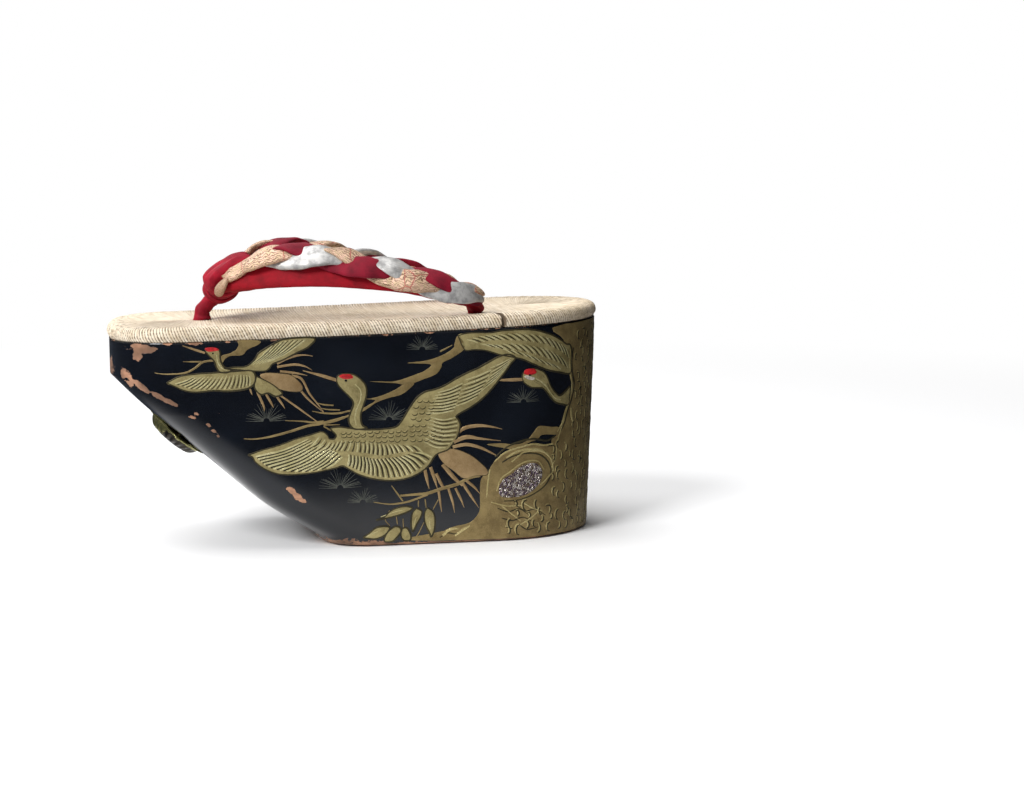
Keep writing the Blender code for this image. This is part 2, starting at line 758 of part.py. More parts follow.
def make_nail(name, spot, out, home, finish):
    """A brass nail: a turned profile, its head on the cap's ear."""
    seat = GAP * 2 + CAP_SHEET
    profile = [
        (0.0, seat + NAIL_HEAD_HEIGHT),
        (NAIL_HEAD_RADIUS * 0.6, seat + NAIL_HEAD_HEIGHT * 0.85),
        (NAIL_HEAD_RADIUS, seat + NAIL_HEAD_HEIGHT * 0.25),
        (NAIL_HEAD_RADIUS, seat),
        (NAIL_RADIUS, seat),
        (NAIL_RADIUS, -NAIL_LENGTH * 0.75),
        (0.0, -NAIL_LENGTH),
    ]
    mesh = bpy.data.meshes.new(name)
    mesh.from_pydata([(r, 0.0, z) for r, z in profile], [(i, i + 1) for i in range(len(profile) - 1)], [])
    mesh.materials.append(finish)
    nail = bpy.data.objects.new(name, mesh)
    home.objects.link(nail)
    turned = nail.modifiers.new("turned", "SCREW")
    turned.steps = 12
    turned.render_steps = 12
    turned.use_merge_vertices = True
    turned.merge_threshold = 0.00005
    turned.use_smooth_shade = True
    nail.location = spot
    nail.rotation_mode = "QUATERNION"
    nail.rotation_quaternion = out.to_track_quat("Z", "Y")
    return nail


def main():
    """Builds every piece of the shoe."""
    clear_scene()
    shoe = collection("okobo")
    cutters = collection("cutters")
    lacquer = material("black_lacquer", (0.012, 0.013, 0.017), 0.18)
    rush = material("rush", (0.62, 0.48, 0.30), 0.6)
    velvet = material("red_velvet", (0.42, 0.008, 0.022), 0.75)
    brocade = material("brocade", (0.55, 0.38, 0.24), 0.5)
    brass = material("brass", (0.46, 0.42, 0.16), 0.3, 1.0)
    make_block(shoe, cutters, lacquer)
    make_mat(shoe, cutters, rush)
    make_strap(shoe, velvet)
    make_braid("braid_left", -1.0, shoe, brocade)
    make_braid("braid_right", 1.0, shoe, brocade)
    make_tie(shoe, cutters, velvet)
    make_cap(shoe, cutters, brass)
    for name, (spot, out) in zip(("cap_nail_left", "cap_nail_right"), nail_places()):
        make_nail(name, spot, out, shoe, brass)


main()
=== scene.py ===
"""Dresses one okobo, a tall lacquered platform sandal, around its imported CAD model.

Sizes are in millimetres, and MM turns them to metres. The toe points to -X, and the side that the
camera sees is -Y. The gold on the block's side is drawn on a flat sheet first and then laid on the
wood: s runs along the side and on round the heel, and h is the height above the floor.
"""

import logging
import math
import random
from collections.abc import Callable, Sequence
from dataclasses import dataclass
from enum import Enum

import bpy
import numpy as np
from mathutils import Matrix, Vector


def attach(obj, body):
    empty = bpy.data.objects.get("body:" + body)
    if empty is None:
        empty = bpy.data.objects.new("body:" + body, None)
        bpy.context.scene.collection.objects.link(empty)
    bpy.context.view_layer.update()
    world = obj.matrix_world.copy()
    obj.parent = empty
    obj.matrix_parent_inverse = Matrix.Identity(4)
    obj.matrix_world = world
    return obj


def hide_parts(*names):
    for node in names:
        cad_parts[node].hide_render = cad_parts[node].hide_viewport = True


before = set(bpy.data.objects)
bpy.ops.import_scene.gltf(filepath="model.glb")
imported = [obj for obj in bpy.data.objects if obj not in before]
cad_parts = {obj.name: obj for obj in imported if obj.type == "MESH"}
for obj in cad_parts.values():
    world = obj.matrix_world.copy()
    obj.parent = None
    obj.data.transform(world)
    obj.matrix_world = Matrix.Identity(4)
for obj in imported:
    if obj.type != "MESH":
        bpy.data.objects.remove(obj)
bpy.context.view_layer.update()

MM = 0.001
TURN = 2 * math.pi
Array = np.ndarray
Marks = tuple[tuple[float, float], ...]
Colour = tuple[float, float, float]
log = logging.getLogger("okobo")


def marks(text: str) -> Marks:
    """Reads a drawn line.

    Args:
        text: its points, each as s,h.

    Returns:
        The points as pairs of numbers.
    """
    return tuple(tuple(float(n) for n in pair.split(",")) for pair in text.split())


def smooth_run(points: Array, steps: int, closed: bool = False) -> Array:
    """Draws a smooth line through points of any width.

    Args:
        points: one row for each point.
        steps: the steps in each span.
        closed: whether the line comes back to its start.

    Returns:
        The points of the line.
    """
    points = np.asarray(points, float)
    if closed:
        padded = np.vstack([points[-1], points, points[:2]])
    else:
        padded = np.vstack([2 * points[0] - points[1], points, 2 * points[-1] - points[-2]])
    made = []
    for a, b, c, d in zip(padded, padded[1:], padded[2:], padded[3:]):
        for step in range(steps):
            t = step / steps
            made.append(0.5 * (2 * b + (c - a) * t + (2 * a - 5 * b + 4 * c - d) * t ** 2
                               + (3 * b - a - 3 * c + d) * t ** 3))
    if not closed:
        made.append(points[-1])
    return np.array(made)


def unit(rows: Array) -> Array:
    """Each row scaled to length one."""
    return rows / np.maximum(np.linalg.norm(rows, axis=-1, keepdims=True), 1e-9)


def ease(value: Array) -> Array:
    """A soft step from 0 to 1."""
    t = np.clip(value, 0.0, 1.0)
    return t * t * (3 - 2 * t)


# Modelling by hand, in code.


def only(piece: bpy.types.Object) -> None:
    """Makes one object the only selected one, and the active one."""
    bpy.ops.object.select_all(action="DESELECT")
    piece.select_set(True)
    bpy.context.view_layer.objects.active = piece


def added(operator: Callable[..., set[str]], **settings: object) -> bpy.types.Object:
    """Runs an operator that adds an object, with nothing else selected.

    Args:
        operator: the operator.
        settings: its settings.

    Returns:
        The new object.
    """
    bpy.ops.object.select_all(action="DESELECT")
    operator(**settings)
    return bpy.context.active_object


def read_points(piece: bpy.types.Object) -> Array:
    """The vertices of a mesh, one row each."""
    flat = np.empty(len(piece.data.vertices) * 3)
    piece.data.vertices.foreach_get("co", flat)
    return flat.reshape(-1, 3)


def write_points(piece: bpy.types.Object, points: Array) -> None:
    """Moves the vertices of a mesh."""
    piece.data.vertices.foreach_set("co", np.asarray(points, float).ravel())
    piece.data.update()


def mark(piece: bpy.types.Object, name: str, values: Array) -> None:
    """Writes a number for each vertex, as an attribute that a material reads."""
    layer = piece.data.attributes.new(name, "FLOAT", "POINT")
    layer.data.foreach_set("value", values.astype(np.float32))


def walked(line: Array) -> Array:
    """The distance walked along a line to each of its points."""
    return np.concatenate([[0.0], np.cumsum(np.linalg.norm(np.diff(line, axis=0), axis=1))])


def around_spot(spot: Array, wide: Array, across: Array, deep: Array, through: Array) -> Array:
    """Points off a place: across along one axis, and through along another."""
    return spot + wide * across[:, None] + deep * through[:, None]


def close_up(piece: bpy.types.Object, reach: float = 2e-6) -> None:
    """Merges seams and poles, and turns every face outwards."""
    only(piece)
    bpy.ops.object.mode_set(mode="EDIT")
    bpy.ops.mesh.select_all(action="SELECT")
    bpy.ops.mesh.remove_doubles(threshold=reach)
    bpy.ops.mesh.normals_make_consistent(inside=False)
    bpy.ops.object.mode_set(mode="OBJECT")


def shaped_grid(name: str, columns: int, rows: int,
                place: Callable[[Array, Array], Array]) -> bpy.types.Object:
    """Shapes a grid into a closed skin.

    Args:
        name: the new piece's name.
        columns: faces around.
        rows: faces along.
        place: gives the points, in millimetres, for shares around and along.

    Returns:
        The piece, its seams and poles merged and its shading smooth.
    """
    piece = added(bpy.ops.mesh.primitive_grid_add, x_subdivisions=columns, y_subdivisions=rows,
                  size=1.0, location=(0, 0, 0))
    piece.name = piece.data.name = name
    flat = read_points(piece)
    around = np.round((flat[:, 0] + 0.5) * columns) / columns
    along = np.round((flat[:, 1] + 0.5) * rows) / rows
    write_points(piece, place(around, along) * MM)
    close_up(piece)
    bpy.ops.object.shade_smooth()
    return piece


def drill(start: Vector, end: Vector, radius: float, sides: int = 48) -> bpy.types.Object:
    """A round cutter between two points, in millimetres."""
    way = end - start
    return added(bpy.ops.mesh.primitive_cylinder_add, vertices=sides, radius=radius * MM,
                 depth=way.length * MM, location=(start + end) / 2 * MM,
                 rotation=way.to_track_quat("Z", "Y").to_euler())


def cut(piece: bpy.types.Object, cutter: bpy.types.Object) -> None:
    """Cuts a piece with another, which is used up."""
    step = piece.modifiers.new("cut", "BOOLEAN")
    step.operation = "DIFFERENCE"
    step.solver = "EXACT"
    step.object = cutter
    only(piece)
    bpy.ops.object.modifier_apply(modifier=step.name)
    bpy.data.objects.remove(cutter)


def join(name: str, parts: Sequence[bpy.types.Object]) -> bpy.types.Object:
    """Joins meshes into one piece."""
    only(parts[0])
    for part in parts[1:]:
        part.select_set(True)
    if len(parts) > 1:
        bpy.ops.object.join()
    made = bpy.context.active_object
    made.name = made.data.name = name
    return made


def copy_of(piece: bpy.types.Object) -> bpy.types.Object:
    """A copy of a piece with its own mesh."""
    only(piece)
    bpy.ops.object.duplicate(linked=False)
    return bpy.context.active_object


def settle(piece: bpy.types.Object, finish: bpy.types.Material,
           stands_for: Sequence[str] = ()) -> bpy.types.Object:
    """Dresses a piece and tells the frame about it.

    Args:
        piece: the finished mesh.
        finish: its material.
        stands_for: the CAD nodes that it replaces.

    Returns:
        The same piece.
    """
    piece.data.materials.clear()
    piece.data.materials.append(finish)
    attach(piece, "root")
    if stands_for:
        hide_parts(*stands_for)
    log.info("%s: %d faces", piece.name, len(piece.data.polygons))
    return piece


# Finishes.


class Board:
    """The nodes of one material, set out by name."""

    def __init__(self, name: str) -> None:
        """Starts a material with one Principled shader."""
        self.material = bpy.data.materials.new(name)
        self.material.use_nodes = True
        self.tree = self.material.node_tree
        self.shader = self.tree.nodes["Principled BSDF"]
        self.object = self.add("TexCoord").outputs["Object"]

    def add(self, kind: str, inputs: dict | None = None, **settings: object) -> bpy.types.Node:
        """Adds a node.

        Args:
            kind: its type, without ShaderNode.
            inputs: a value, node or socket for each input.
            settings: its other settings.

        Returns:
            The node.
        """
        node = self.tree.nodes.new("ShaderNode" + kind)
        for key, value in settings.items():
            setattr(node, key, value)
        self.feed(node, inputs or {})
        return node

    def feed(self, node: bpy.types.Node, inputs: dict) -> None:
        """Sets or links a node's inputs."""
        for key, value in inputs.items():
            if isinstance(value, bpy.types.Node):
                value = value.outputs[0]
            if isinstance(value, bpy.types.NodeSocket):
                self.tree.links.new(value, node.inputs[key])
            else:
                node.inputs[key].default_value = value

    def dress(self, **inputs: object) -> bpy.types.Material:
        """Feeds the shader, with its inputs' names in snake case.

        Returns:
            The finished material.
        """
        self.feed(self.shader, {key.replace("_", " ").title().replace("Ior", "IOR"): value
                                for key, value in inputs.items()})
        return self.material

    def uv(self, across: float, along: float) -> bpy.types.Node:
        """The piece's own UV map, stretched."""
        return self.add("Mapping", {"Vector": self.add("UVMap"), "Scale": (across, along, 1.0)})

    def stretched(self, scale: tuple[float, float, float]) -> bpy.types.Node:
        """Object coordinates, stretched."""
        return self.add("Mapping", {"Vector": self.object, "Scale": scale})

    def noise(self, vector: object, scale: float, detail: float = 3.0,
              roughness: float = 0.5) -> bpy.types.Node:
        """Noise from 0 to 1."""
        return self.add("TexNoise", {"Vector": vector, "Scale": scale, "Detail": detail,
                                     "Roughness": roughness})

    def cells(self, vector: object, scale: float,
              feature: str = "DISTANCE_TO_EDGE") -> bpy.types.Node:
        """A cell pattern."""
        return self.add("TexVoronoi", {"Vector": vector, "Scale": scale}, feature=feature)

    def sum(self, kind: str, first: object, second: object) -> bpy.types.Node:
        """One step of arithmetic."""
        return self.add("Math", {0: first, 1: second}, operation=kind)

    def weighed(self, first: object, share: float, second: object, other: float) -> bpy.types.Node:
        """Two patterns, each times its weight, added."""
        return self.sum("ADD", self.sum("MULTIPLY", first, share),
                        self.sum("MULTIPLY", second, other))

    def band(self, value: object, low: float, high: float, start: float = 0.0,
             end: float = 1.0) -> bpy.types.Node:
        """Maps low and high to start and end, softly, and holds them beyond."""
        return self.add("MapRange", {"Value": value, "From Min": low, "From Max": high,
                                     "To Min": start, "To Max": end},
                        interpolation_type="SMOOTHSTEP")

    def blend(self, share: object, first: object, second: object) -> bpy.types.NodeSocket:
        """Mixes two colours."""
        pair = [(*c, 1.0) if isinstance(c, tuple) else c for c in (first, second)]
        node = self.add("Mix", {0: share, 6: pair[0], 7: pair[1]}, data_type="RGBA")
        return node.outputs[2]

    def bump(self, height: object, depth: float, strength: float = 1.0,
             under: object = None) -> bpy.types.Node:
        """A bump, its depth in millimetres."""
        inputs = {"Height": height, "Strength": strength, "Distance": depth * MM}
        if under is not None:
            inputs["Normal"] = under
        return self.add("Bump", inputs)


class Sky(Board):
    """The nodes of the world."""

    def __init__(self, name: str) -> None:
        """Starts an empty world."""
        self.world = bpy.data.worlds.new(name)
        self.world.use_nodes = True
        self.tree = self.world.node_tree
        self.tree.nodes.clear()


@dataclass(frozen=True)
class Lacquer:
    """Black lacquer on wood, chipped where the wear attribute is high."""

    black: Colour = (0.0022, 0.0031, 0.0056)
    haze: Colour = (0.0048, 0.0068, 0.0110)
    bare: Colour = (0.46, 0.235, 0.135)
    stained: Colour = (0.16, 0.080, 0.044)

    def make(self) -> bpy.types.Material:
        """Builds the material."""
        board = Board("black_lacquer")
        wear = board.add("Attribute", attribute_name="wear").outputs["Fac"]
        ragged = board.noise(board.stretched((0.8, 0.8, 1.3)), 260.0, 6.0, 0.68)
        shift = board.sum("SUBTRACT", ragged, 0.5)
        level = board.sum("ADD", wear, board.sum("MULTIPLY", shift, 2.1))
        chipped = board.band(level, 0.485, 0.515)
        grain = board.noise(board.stretched((60.0, 300.0, 900.0)), 1.0, 6.0, 0.6)
        blotch = board.noise(board.object, 70.0, 4.0)
        wood = board.blend(board.band(blotch, 0.38, 0.62), self.stained, self.bare)
        wood = board.blend(board.band(grain, 0.35, 0.75, 0.0, 0.55), wood, self.stained)
        cloud = board.noise(board.object, 26.0, 3.0)
        black = board.blend(board.band(cloud, 0.40, 0.72), self.black, self.haze)
        scuff = board.noise(board.stretched((40.0, 40.0, 260.0)), 3.0, 5.0, 0.7)
        black = board.blend(board.band(scuff, 0.62, 0.74, 0.0, 0.30), black, (0.030, 0.035, 0.042))
        gloss = board.band(board.noise(board.object, 120.0, 4.0), 0.3, 0.8, 0.11, 0.24)
        rough = board.add("Mix", {0: chipped, 2: gloss, 3: 0.72})
        ripple = board.bump(board.noise(board.object, 45.0, 2.0), 0.10, 0.5)
        grained = board.bump(board.sum("MULTIPLY", grain, chipped), 0.25, 0.6, ripple)
        sunk = board.bump(board.sum("SUBTRACT", 1.0, chipped), 0.35, 1.0, grained)
        return board.dress(base_color=board.blend(chipped, black, wood), roughness=rough,
                           normal=sunk, coat_weight=0.25, coat_roughness=0.08)


@dataclass(frozen=True)
class RaisedGold:
    """Gold powder on raised lacquer."""

    name: str
    deep: Colour
    bright: Colour
    rough: float = 0.42
    metal: float = 0.40
    grit: float = 0.10

    def make(self) -> bpy.types.Material:
        """Builds the material."""
        board = Board(self.name)
        cloud = board.noise(board.object, 150.0, 4.0, 0.6)
        speck = board.noise(board.object, 2400.0, 3.0, 0.7)
        tone = board.weighed(cloud, 0.75, speck, 0.35)
        gold = board.blend(board.band(tone, 0.38, 0.70), self.deep, self.bright)
        worn = board.noise(board.object, 420.0, 5.0, 0.7)
        gold = board.blend(board.band(worn, 0.64, 0.78, 0.0, 0.5), gold,
                           tuple(c * 0.35 for c in self.deep))
        rough = board.band(cloud, 0.3, 0.7, self.rough + 0.10, self.rough - 0.08)
        grain = board.bump(speck, self.grit, 0.7)
        rolled = board.bump(board.noise(board.object, 520.0, 2.0), 0.22, 0.55, grain)
        return board.dress(base_color=gold, roughness=rough, metallic=self.metal, normal=rolled)


@dataclass(frozen=True)
class Shell:
    """Crushed shell inlay in the knot of the trunk."""

    silver: Colour = (0.50, 0.455, 0.42)
    violet: Colour = (0.11, 0.075, 0.10)
    brown: Colour = (0.13, 0.095, 0.070)

    def make(self) -> bpy.types.Material:
        """Builds the material."""
        board = Board("crushed_shell")
        flakes = board.cells(board.object, 1150.0, "F1")
        tint = board.add("SeparateColor", {"Color": flakes.outputs["Color"]})
        base = board.blend(board.band(tint.outputs[0], 0.30, 0.75), self.brown, self.silver)
        base = board.blend(board.band(tint.outputs[1], 0.62, 0.72), base, self.violet)
        gaps = board.cells(board.object, 1150.0)
        bumped = board.bump(board.band(gaps, 0.0, 0.25), 0.25, 1.0)
        return board.dress(base_color=base, roughness=0.22, metallic=0.55, normal=bumped)


@dataclass(frozen=True)
class Paint:
    """A small touch of coloured lacquer."""

    name: str
    colour: Colour
    rough: float = 0.35

    def make(self) -> bpy.types.Material:
        """Builds the material."""
        board = Board(self.name)
        patch = board.noise(board.object, 900.0, 3.0)
        tone = board.blend(board.band(patch, 0.35, 0.7), self.colour,
                           tuple(c * 0.55 for c in self.colour))
        return board.dress(base_color=tone, roughness=self.rough,
                           normal=board.bump(patch, 0.08, 0.5))


@dataclass(frozen=True)
class Rush:
    """Split rush, one tone to each strand, with fibres along it, and painted shade in the gaps
    between strands and in the slits.
    """

    pale: Colour = (0.82, 0.715, 0.57)
    straw: Colour = (0.64, 0.525, 0.375)
    # gap is the dark of the fibres, and of the painted shade in the gaps and the slits.
    gap: Colour = (0.105, 0.062, 0.028)
    strands: int = 436

    def make(self) -> bpy.types.Material:
        """Builds the material."""
        board = Board("rush")
        tone = board.noise(board.uv(self.strands * 0.9, 2.2), 1.0, 2.0)
        fibre = board.noise(board.uv(self.strands * 5.0, 9.0), 1.0, 4.0, 0.6)
        colour = board.blend(board.band(tone, 0.33, 0.66), self.straw, self.pale)
        colour = board.blend(board.band(fibre, 0.50, 0.76, 0.0, 0.50), colour, self.gap)
        strand = board.add("SeparateXYZ", {"Vector": board.uv(self.strands, 1.0)})
        # A strand's gap gets painted shade where the wave is under the gap's own ragged width.
        wave = board.sum("PINGPONG", strand.outputs[0], 0.5)
        broken = board.noise(board.uv(self.strands * 0.35, 16.0), 1.0, 3.0)
        width = board.band(broken, 0.40, 0.64, 0.05, 0.24)
        groove = board.band(board.sum("SUBTRACT", wave, width), -0.03, 0.07, 1.0, 0.0)
        inward = board.add("SeparateXYZ", {"Vector": board.uv(1.0, 1.0)}).outputs[1]
        # The painted shade in the gaps is deeper on the rim than on the field.
        depth = board.band(inward, 0.58, 0.80, 0.80, 0.24)
        colour = board.blend(board.sum("MULTIPLY", groove, depth), colour, self.gap)
        blotch = board.noise(board.object, 34.0, 3.0)
        colour = board.blend(board.band(blotch, 0.42, 0.75, 0.0, 0.35), colour, (0.50, 0.38, 0.22))
        # Painted shade along the slits, where the slit attribute is high.
        slit = board.add("Attribute", attribute_name="slit").outputs["Fac"]
        colour = board.blend(board.sum("MULTIPLY", slit, 0.9), colour, self.gap)
        dents = board.bump(board.sum("SUBTRACT", 1.0, groove), 0.22, 0.8)
        lined = board.bump(fibre, 0.14, 0.8, dents)
        rough = board.band(fibre, 0.3, 0.7, 0.48, 0.66)
        return board.dress(base_color=colour, roughness=rough, normal=lined)


@dataclass(frozen=True)
class Velvet:
    """Red velvet, brighter where the pile catches light."""

    name: str = "red_velvet"
    deep: Colour = (0.105, 0.0015, 0.010)
    bright: Colour = (0.235, 0.0035, 0.019)
    sheen: float = 0.11

    def make(self) -> bpy.types.Material:
        """Builds the material."""
        board = Board(self.name)
        crush = board.noise(board.object, 130.0, 4.0, 0.6)
        pile = board.noise(board.object, 3800.0, 2.0, 0.7)
        tone = board.weighed(crush, 0.8, pile, 0.3)
        colour = board.blend(board.band(tone, 0.36, 0.72), self.deep, self.bright)
        folds = board.bump(crush, 0.45, 0.6)
        nap = board.bump(pile, 0.10, 0.8, folds)
        return board.dress(base_color=colour, roughness=0.72, normal=nap,
                           sheen_weight=self.sheen, sheen_roughness=0.38,
                           sheen_tint=(1.0, 0.30, 0.36, 1.0), specular_ior_level=0.22)


@dataclass(frozen=True)
class SilverCloth:
    """Cloth woven with flat silver strips, rubbed thin in places, with painted shade in its
    creases.
    """

    bright: Colour = (0.52, 0.51, 0.495)
    shade: Colour = (0.27, 0.265, 0.26)
    worn: Colour = (0.42, 0.35, 0.27)

    def make(self) -> bpy.types.Material:
        """Builds the material."""
        board = Board("silver_cloth")
        crease = board.noise(board.object, 210.0, 5.0, 0.6)
        weave = board.add("TexWave", {"Vector": board.uv(26.0, 130.0), "Scale": 0.55,
                                      "Distortion": 0.4, "Detail": 1.0},
                          bands_direction="DIAGONAL")
        # Painted shade: darker where the crease noise dips, as in the folds' bump.
        colour = board.blend(board.band(crease, 0.36, 0.60), self.shade, self.bright)
        rub = board.noise(board.object, 95.0, 5.0, 0.65)
        colour = board.blend(board.band(rub, 0.60, 0.72, 0.0, 0.55), colour, self.worn)
        ribs = board.bump(weave, 0.10, 0.5)
        folded = board.bump(crease, 0.70, 0.7, ribs)
        return board.dress(base_color=colour, roughness=board.band(crease, 0.3, 0.7, 0.46, 0.28),
                           metallic=0.30, normal=folded)


@dataclass(frozen=True)
class Brocade:
    """Peach and gold brocade with a fine dark meander and stray red threads."""

    peach: Colour = (0.74, 0.49, 0.36)
    gold: Colour = (0.62, 0.46, 0.28)
    dark: Colour = (0.20, 0.095, 0.055)
    red: Colour = (0.40, 0.02, 0.03)

    def make(self) -> bpy.types.Material:
        """Builds the material."""
        board = Board("brocade")
        cloth = board.uv(27.0, 130.0)
        drift = board.noise(cloth, 0.5, 2.0)
        curls = board.add("TexWave", {"Vector": cloth, "Scale": 0.29, "Distortion": 12.0,
                                      "Detail": 2.0, "Detail Scale": 1.3,
                                      "Detail Roughness": 0.6})
        fields = board.noise(cloth, 0.16, 2.0)
        colour = board.blend(board.band(drift, 0.35, 0.65), self.peach, self.gold)
        lines = board.band(curls, 0.30, 0.55, 1.0, 0.0)
        ink = board.band(fields, 0.3, 0.6, 0.45, 0.95)
        colour = board.blend(board.sum("MULTIPLY", lines, ink), colour, self.dark)
        drag = board.noise(cloth, 0.35, 3.0).outputs["Color"]
        bent = board.add("VectorMath", {0: cloth, 1: drag}, operation="ADD")
        seams = board.cells(bent, 0.055)
        colour = board.blend(board.band(seams, 0.004, 0.014, 0.7, 0.0), colour, self.red)
        thread = board.add("TexWave", {"Vector": cloth, "Scale": 1.5}, bands_direction="Y")
        woven = board.bump(thread, 0.05, 0.6)
        raised = board.bump(lines, -0.12, 0.7, woven)
        return board.dress(base_color=colour, roughness=0.48, metallic=0.25, normal=raised)


@dataclass(frozen=True)
class Brass:
    """Brass, greenish and clean on flat parts and dark brown in the worn dome."""

    name: str = "brass"
    clean: Colour = (0.50, 0.47, 0.20)
    green: Colour = (0.26, 0.25, 0.10)
    dark: Colour = (0.060, 0.052, 0.042)
    aged: bool = False

    def make(self) -> bpy.types.Material:
        """Builds the material."""
        board = Board(self.name)
        cloud = board.noise(board.object, 260.0, 5.0, 0.6)
        colour = board.blend(board.band(cloud, 0.36, 0.64), self.green, self.clean)
        if self.aged:
            aged = board.add("Attribute", attribute_name="aged").outputs["Fac"]
            speck = board.noise(board.object, 800.0, 4.0, 0.7)
            ragged = board.sum("MULTIPLY", board.sum("SUBTRACT", speck, 0.5), 0.9)
            level = board.sum("ADD", aged, ragged)
            colour = board.blend(board.band(level, 0.40, 0.62), colour, self.dark)
        rough = board.band(cloud, 0.3, 0.7, 0.42, 0.26)
        dents = board.bump(cloud, 0.12, 0.6)
        return board.dress(base_color=colour, roughness=rough, metallic=0.95, normal=dents)


# The shape of the wood.


class Side(Enum):
    """A side of the shoe: the near one is what the camera sees."""

    NEAR = -1.0
    FAR = 1.0


class BlockForm:
    """The platform's outline and its side, as in the CAD model.

    The numbers are the source's own driving dimensions, in millimetres.
    """

    length = 225.0
    ball_width = 97.0
    heel_width = 95.5
    toe_end = 39.0
    heel_end = 50.0
    toe_power = 2.7
    overhang = 0.7
    toe_height = 93.0
    heel_height = 99.0
    dip = 1.0
    draft = 0.040
    band_bottom = 77.0
    floor_end = 31.0
    floor_power = 3.4
    corner = 62.0
    side_end = 95.0
    slope = ((3.85, 87.42), (10.78, 76.2), (20.02, 62.93), (36.19, 44.69), (61.6, 15.99),
             (69.3, 7.76), (77.0, 0.0))
    squareness = ((0.0, 1.0), (36.19, 1.0), (61.6, 0.9), (69.3, 0.5), (77.0, 0.0))

    def __init__(self) -> None:
        """Tabulates the undercut, the heel's arc and the outline's length."""
        run = np.vstack([[(0.0, 93.5), (0.48, 90.46)], smooth_run(np.array(self.slope), 12)])
        self.cut_heights, self.cut_setbacks = run[:, 0], run[:, 1]
        angles = np.linspace(0.0, math.pi, 2000)
        inset = self.overhang
        arc = np.column_stack([self.heel_end * np.sin(angles),
                               (self.half_width(90.0) - inset) * np.cos(angles)])
        self.arc_angles = angles
        self.arc_lengths = walked(arc)
        self.tip = self.corner + float(np.interp(math.pi / 2, angles, self.arc_lengths))
        steps = np.linspace(0.0, 3.0, 6001)
        edge = np.column_stack(self.outline(steps, -self.length / 2, self.length / 2, 0.0,
                                            self.toe_end, self.heel_end, self.toe_power))
        lengths = walked(edge)
        self.half_perimeter = float(lengths[-1])
        self.step_table, self.walk_table = steps, lengths / lengths[-1]

    def half_width(self, x: Array) -> Array:
        """Half the platform's width at x."""
        share = np.clip((x / self.length + 0.25) / 0.6, 0.0, 1.0)
        return (self.ball_width + (self.heel_width - self.ball_width) * share) / 2

    def top(self, x: Array) -> Array:
        """Height of the wood's top at x."""
        t = x / self.length + 0.5
        rise = (self.heel_height - self.toe_height) * t
        return self.toe_height + rise - self.dip * 4 * t * (1 - t)

    def lean(self, x: Array, h: Array) -> Array:
        """How far the side has leant in at a height."""
        band = self.draft * (self.toe_height - self.band_bottom)
        above = band * (1 - (h - self.band_bottom) / (self.top(x) - self.band_bottom))
        return np.where(h > self.band_bottom, above, self.draft * (self.toe_height - h))

    def cut_back(self, h: Array) -> tuple[Array, Array, Array]:
        """The toe's setback at a height, and the size and squareness of its round end."""
        square = np.interp(h, *zip(*self.squareness))
        return (np.interp(h, self.cut_heights, self.cut_setbacks),
                self.toe_end + (self.floor_end - self.toe_end) * square,
                self.toe_power + (self.floor_power - self.toe_power) * square)

    def outline(self, step: Array, toe: Array, heel: Array, inset: Array, toe_end: Array,
                heel_end: Array, power: Array) -> tuple[Array, Array]:
        """A point of half an outline.

        Args:
            step: 0 to 1 round the heel, 1 to 2 along the side, 2 to 3 round the toe.
            toe: x of the toe's tip.
            heel: x of the heel's tip.
            inset: distance in from the full width.
            toe_end: length of the round toe.
            heel_end: length of the round heel.
            power: squareness of the toe.

        Returns:
            x and y, with y above zero.
        """
        turn = np.clip(step, 0.0, 1.0) * math.pi / 2
        back = np.clip(3.0 - step, 0.0, 1.0) * math.pi / 2
        heel_x = heel - heel_end + np.cos(turn) * heel_end
        straight = toe + toe_end - heel + heel_end
        side_x = (heel - heel_end) + straight * np.clip(step - 1.0, 0.0, 1.0)
        toe_x = toe + toe_end - np.abs(np.cos(back)) ** (2 / power) * toe_end
        toe_share = np.abs(np.sin(back)) ** (2 / power)
        x = np.where(step < 1.0, heel_x, np.where(step < 2.0, side_x, toe_x))
        share = np.where(step < 1.0, np.sin(turn), np.where(step < 2.0, 1.0, toe_share))
        return x, share * (self.half_width(x) - inset)

    def walk(self, around: Array) -> tuple[Array, Array]:
        """The outline's step and the side's sign for a share round, from the heel's tip by +Y."""
        step = np.interp(1.0 - np.abs(2.0 * around - 1.0), self.walk_table, self.step_table)
        return step, np.where(around < 0.5, 1.0, -1.0)

    def ring(self, around: Array, h: Array, extra: Array) -> Array:
        """Points of the block's outline, where h in the band counts in equal parts to the top."""
        step, sign = self.walk(around)
        setback, toe_end, power = self.cut_back(np.minimum(h, self.band_bottom))
        part = (h - self.band_bottom) / (self.toe_height - self.band_bottom)
        lean = np.where(part > 0, self.draft * (self.toe_height - self.band_bottom) * (1 - part),
                        self.draft * (self.toe_height - h))
        inset = self.overhang + lean + extra
        toe = self.overhang - self.length / 2 + setback + extra
        x, y = self.outline(step, toe, self.length / 2 - inset, inset, toe_end,
                            self.heel_end, power)
        z = np.where(part > 0, self.band_bottom + part * (self.top(x) - self.band_bottom), h)
        return np.column_stack([x, y * sign, z])

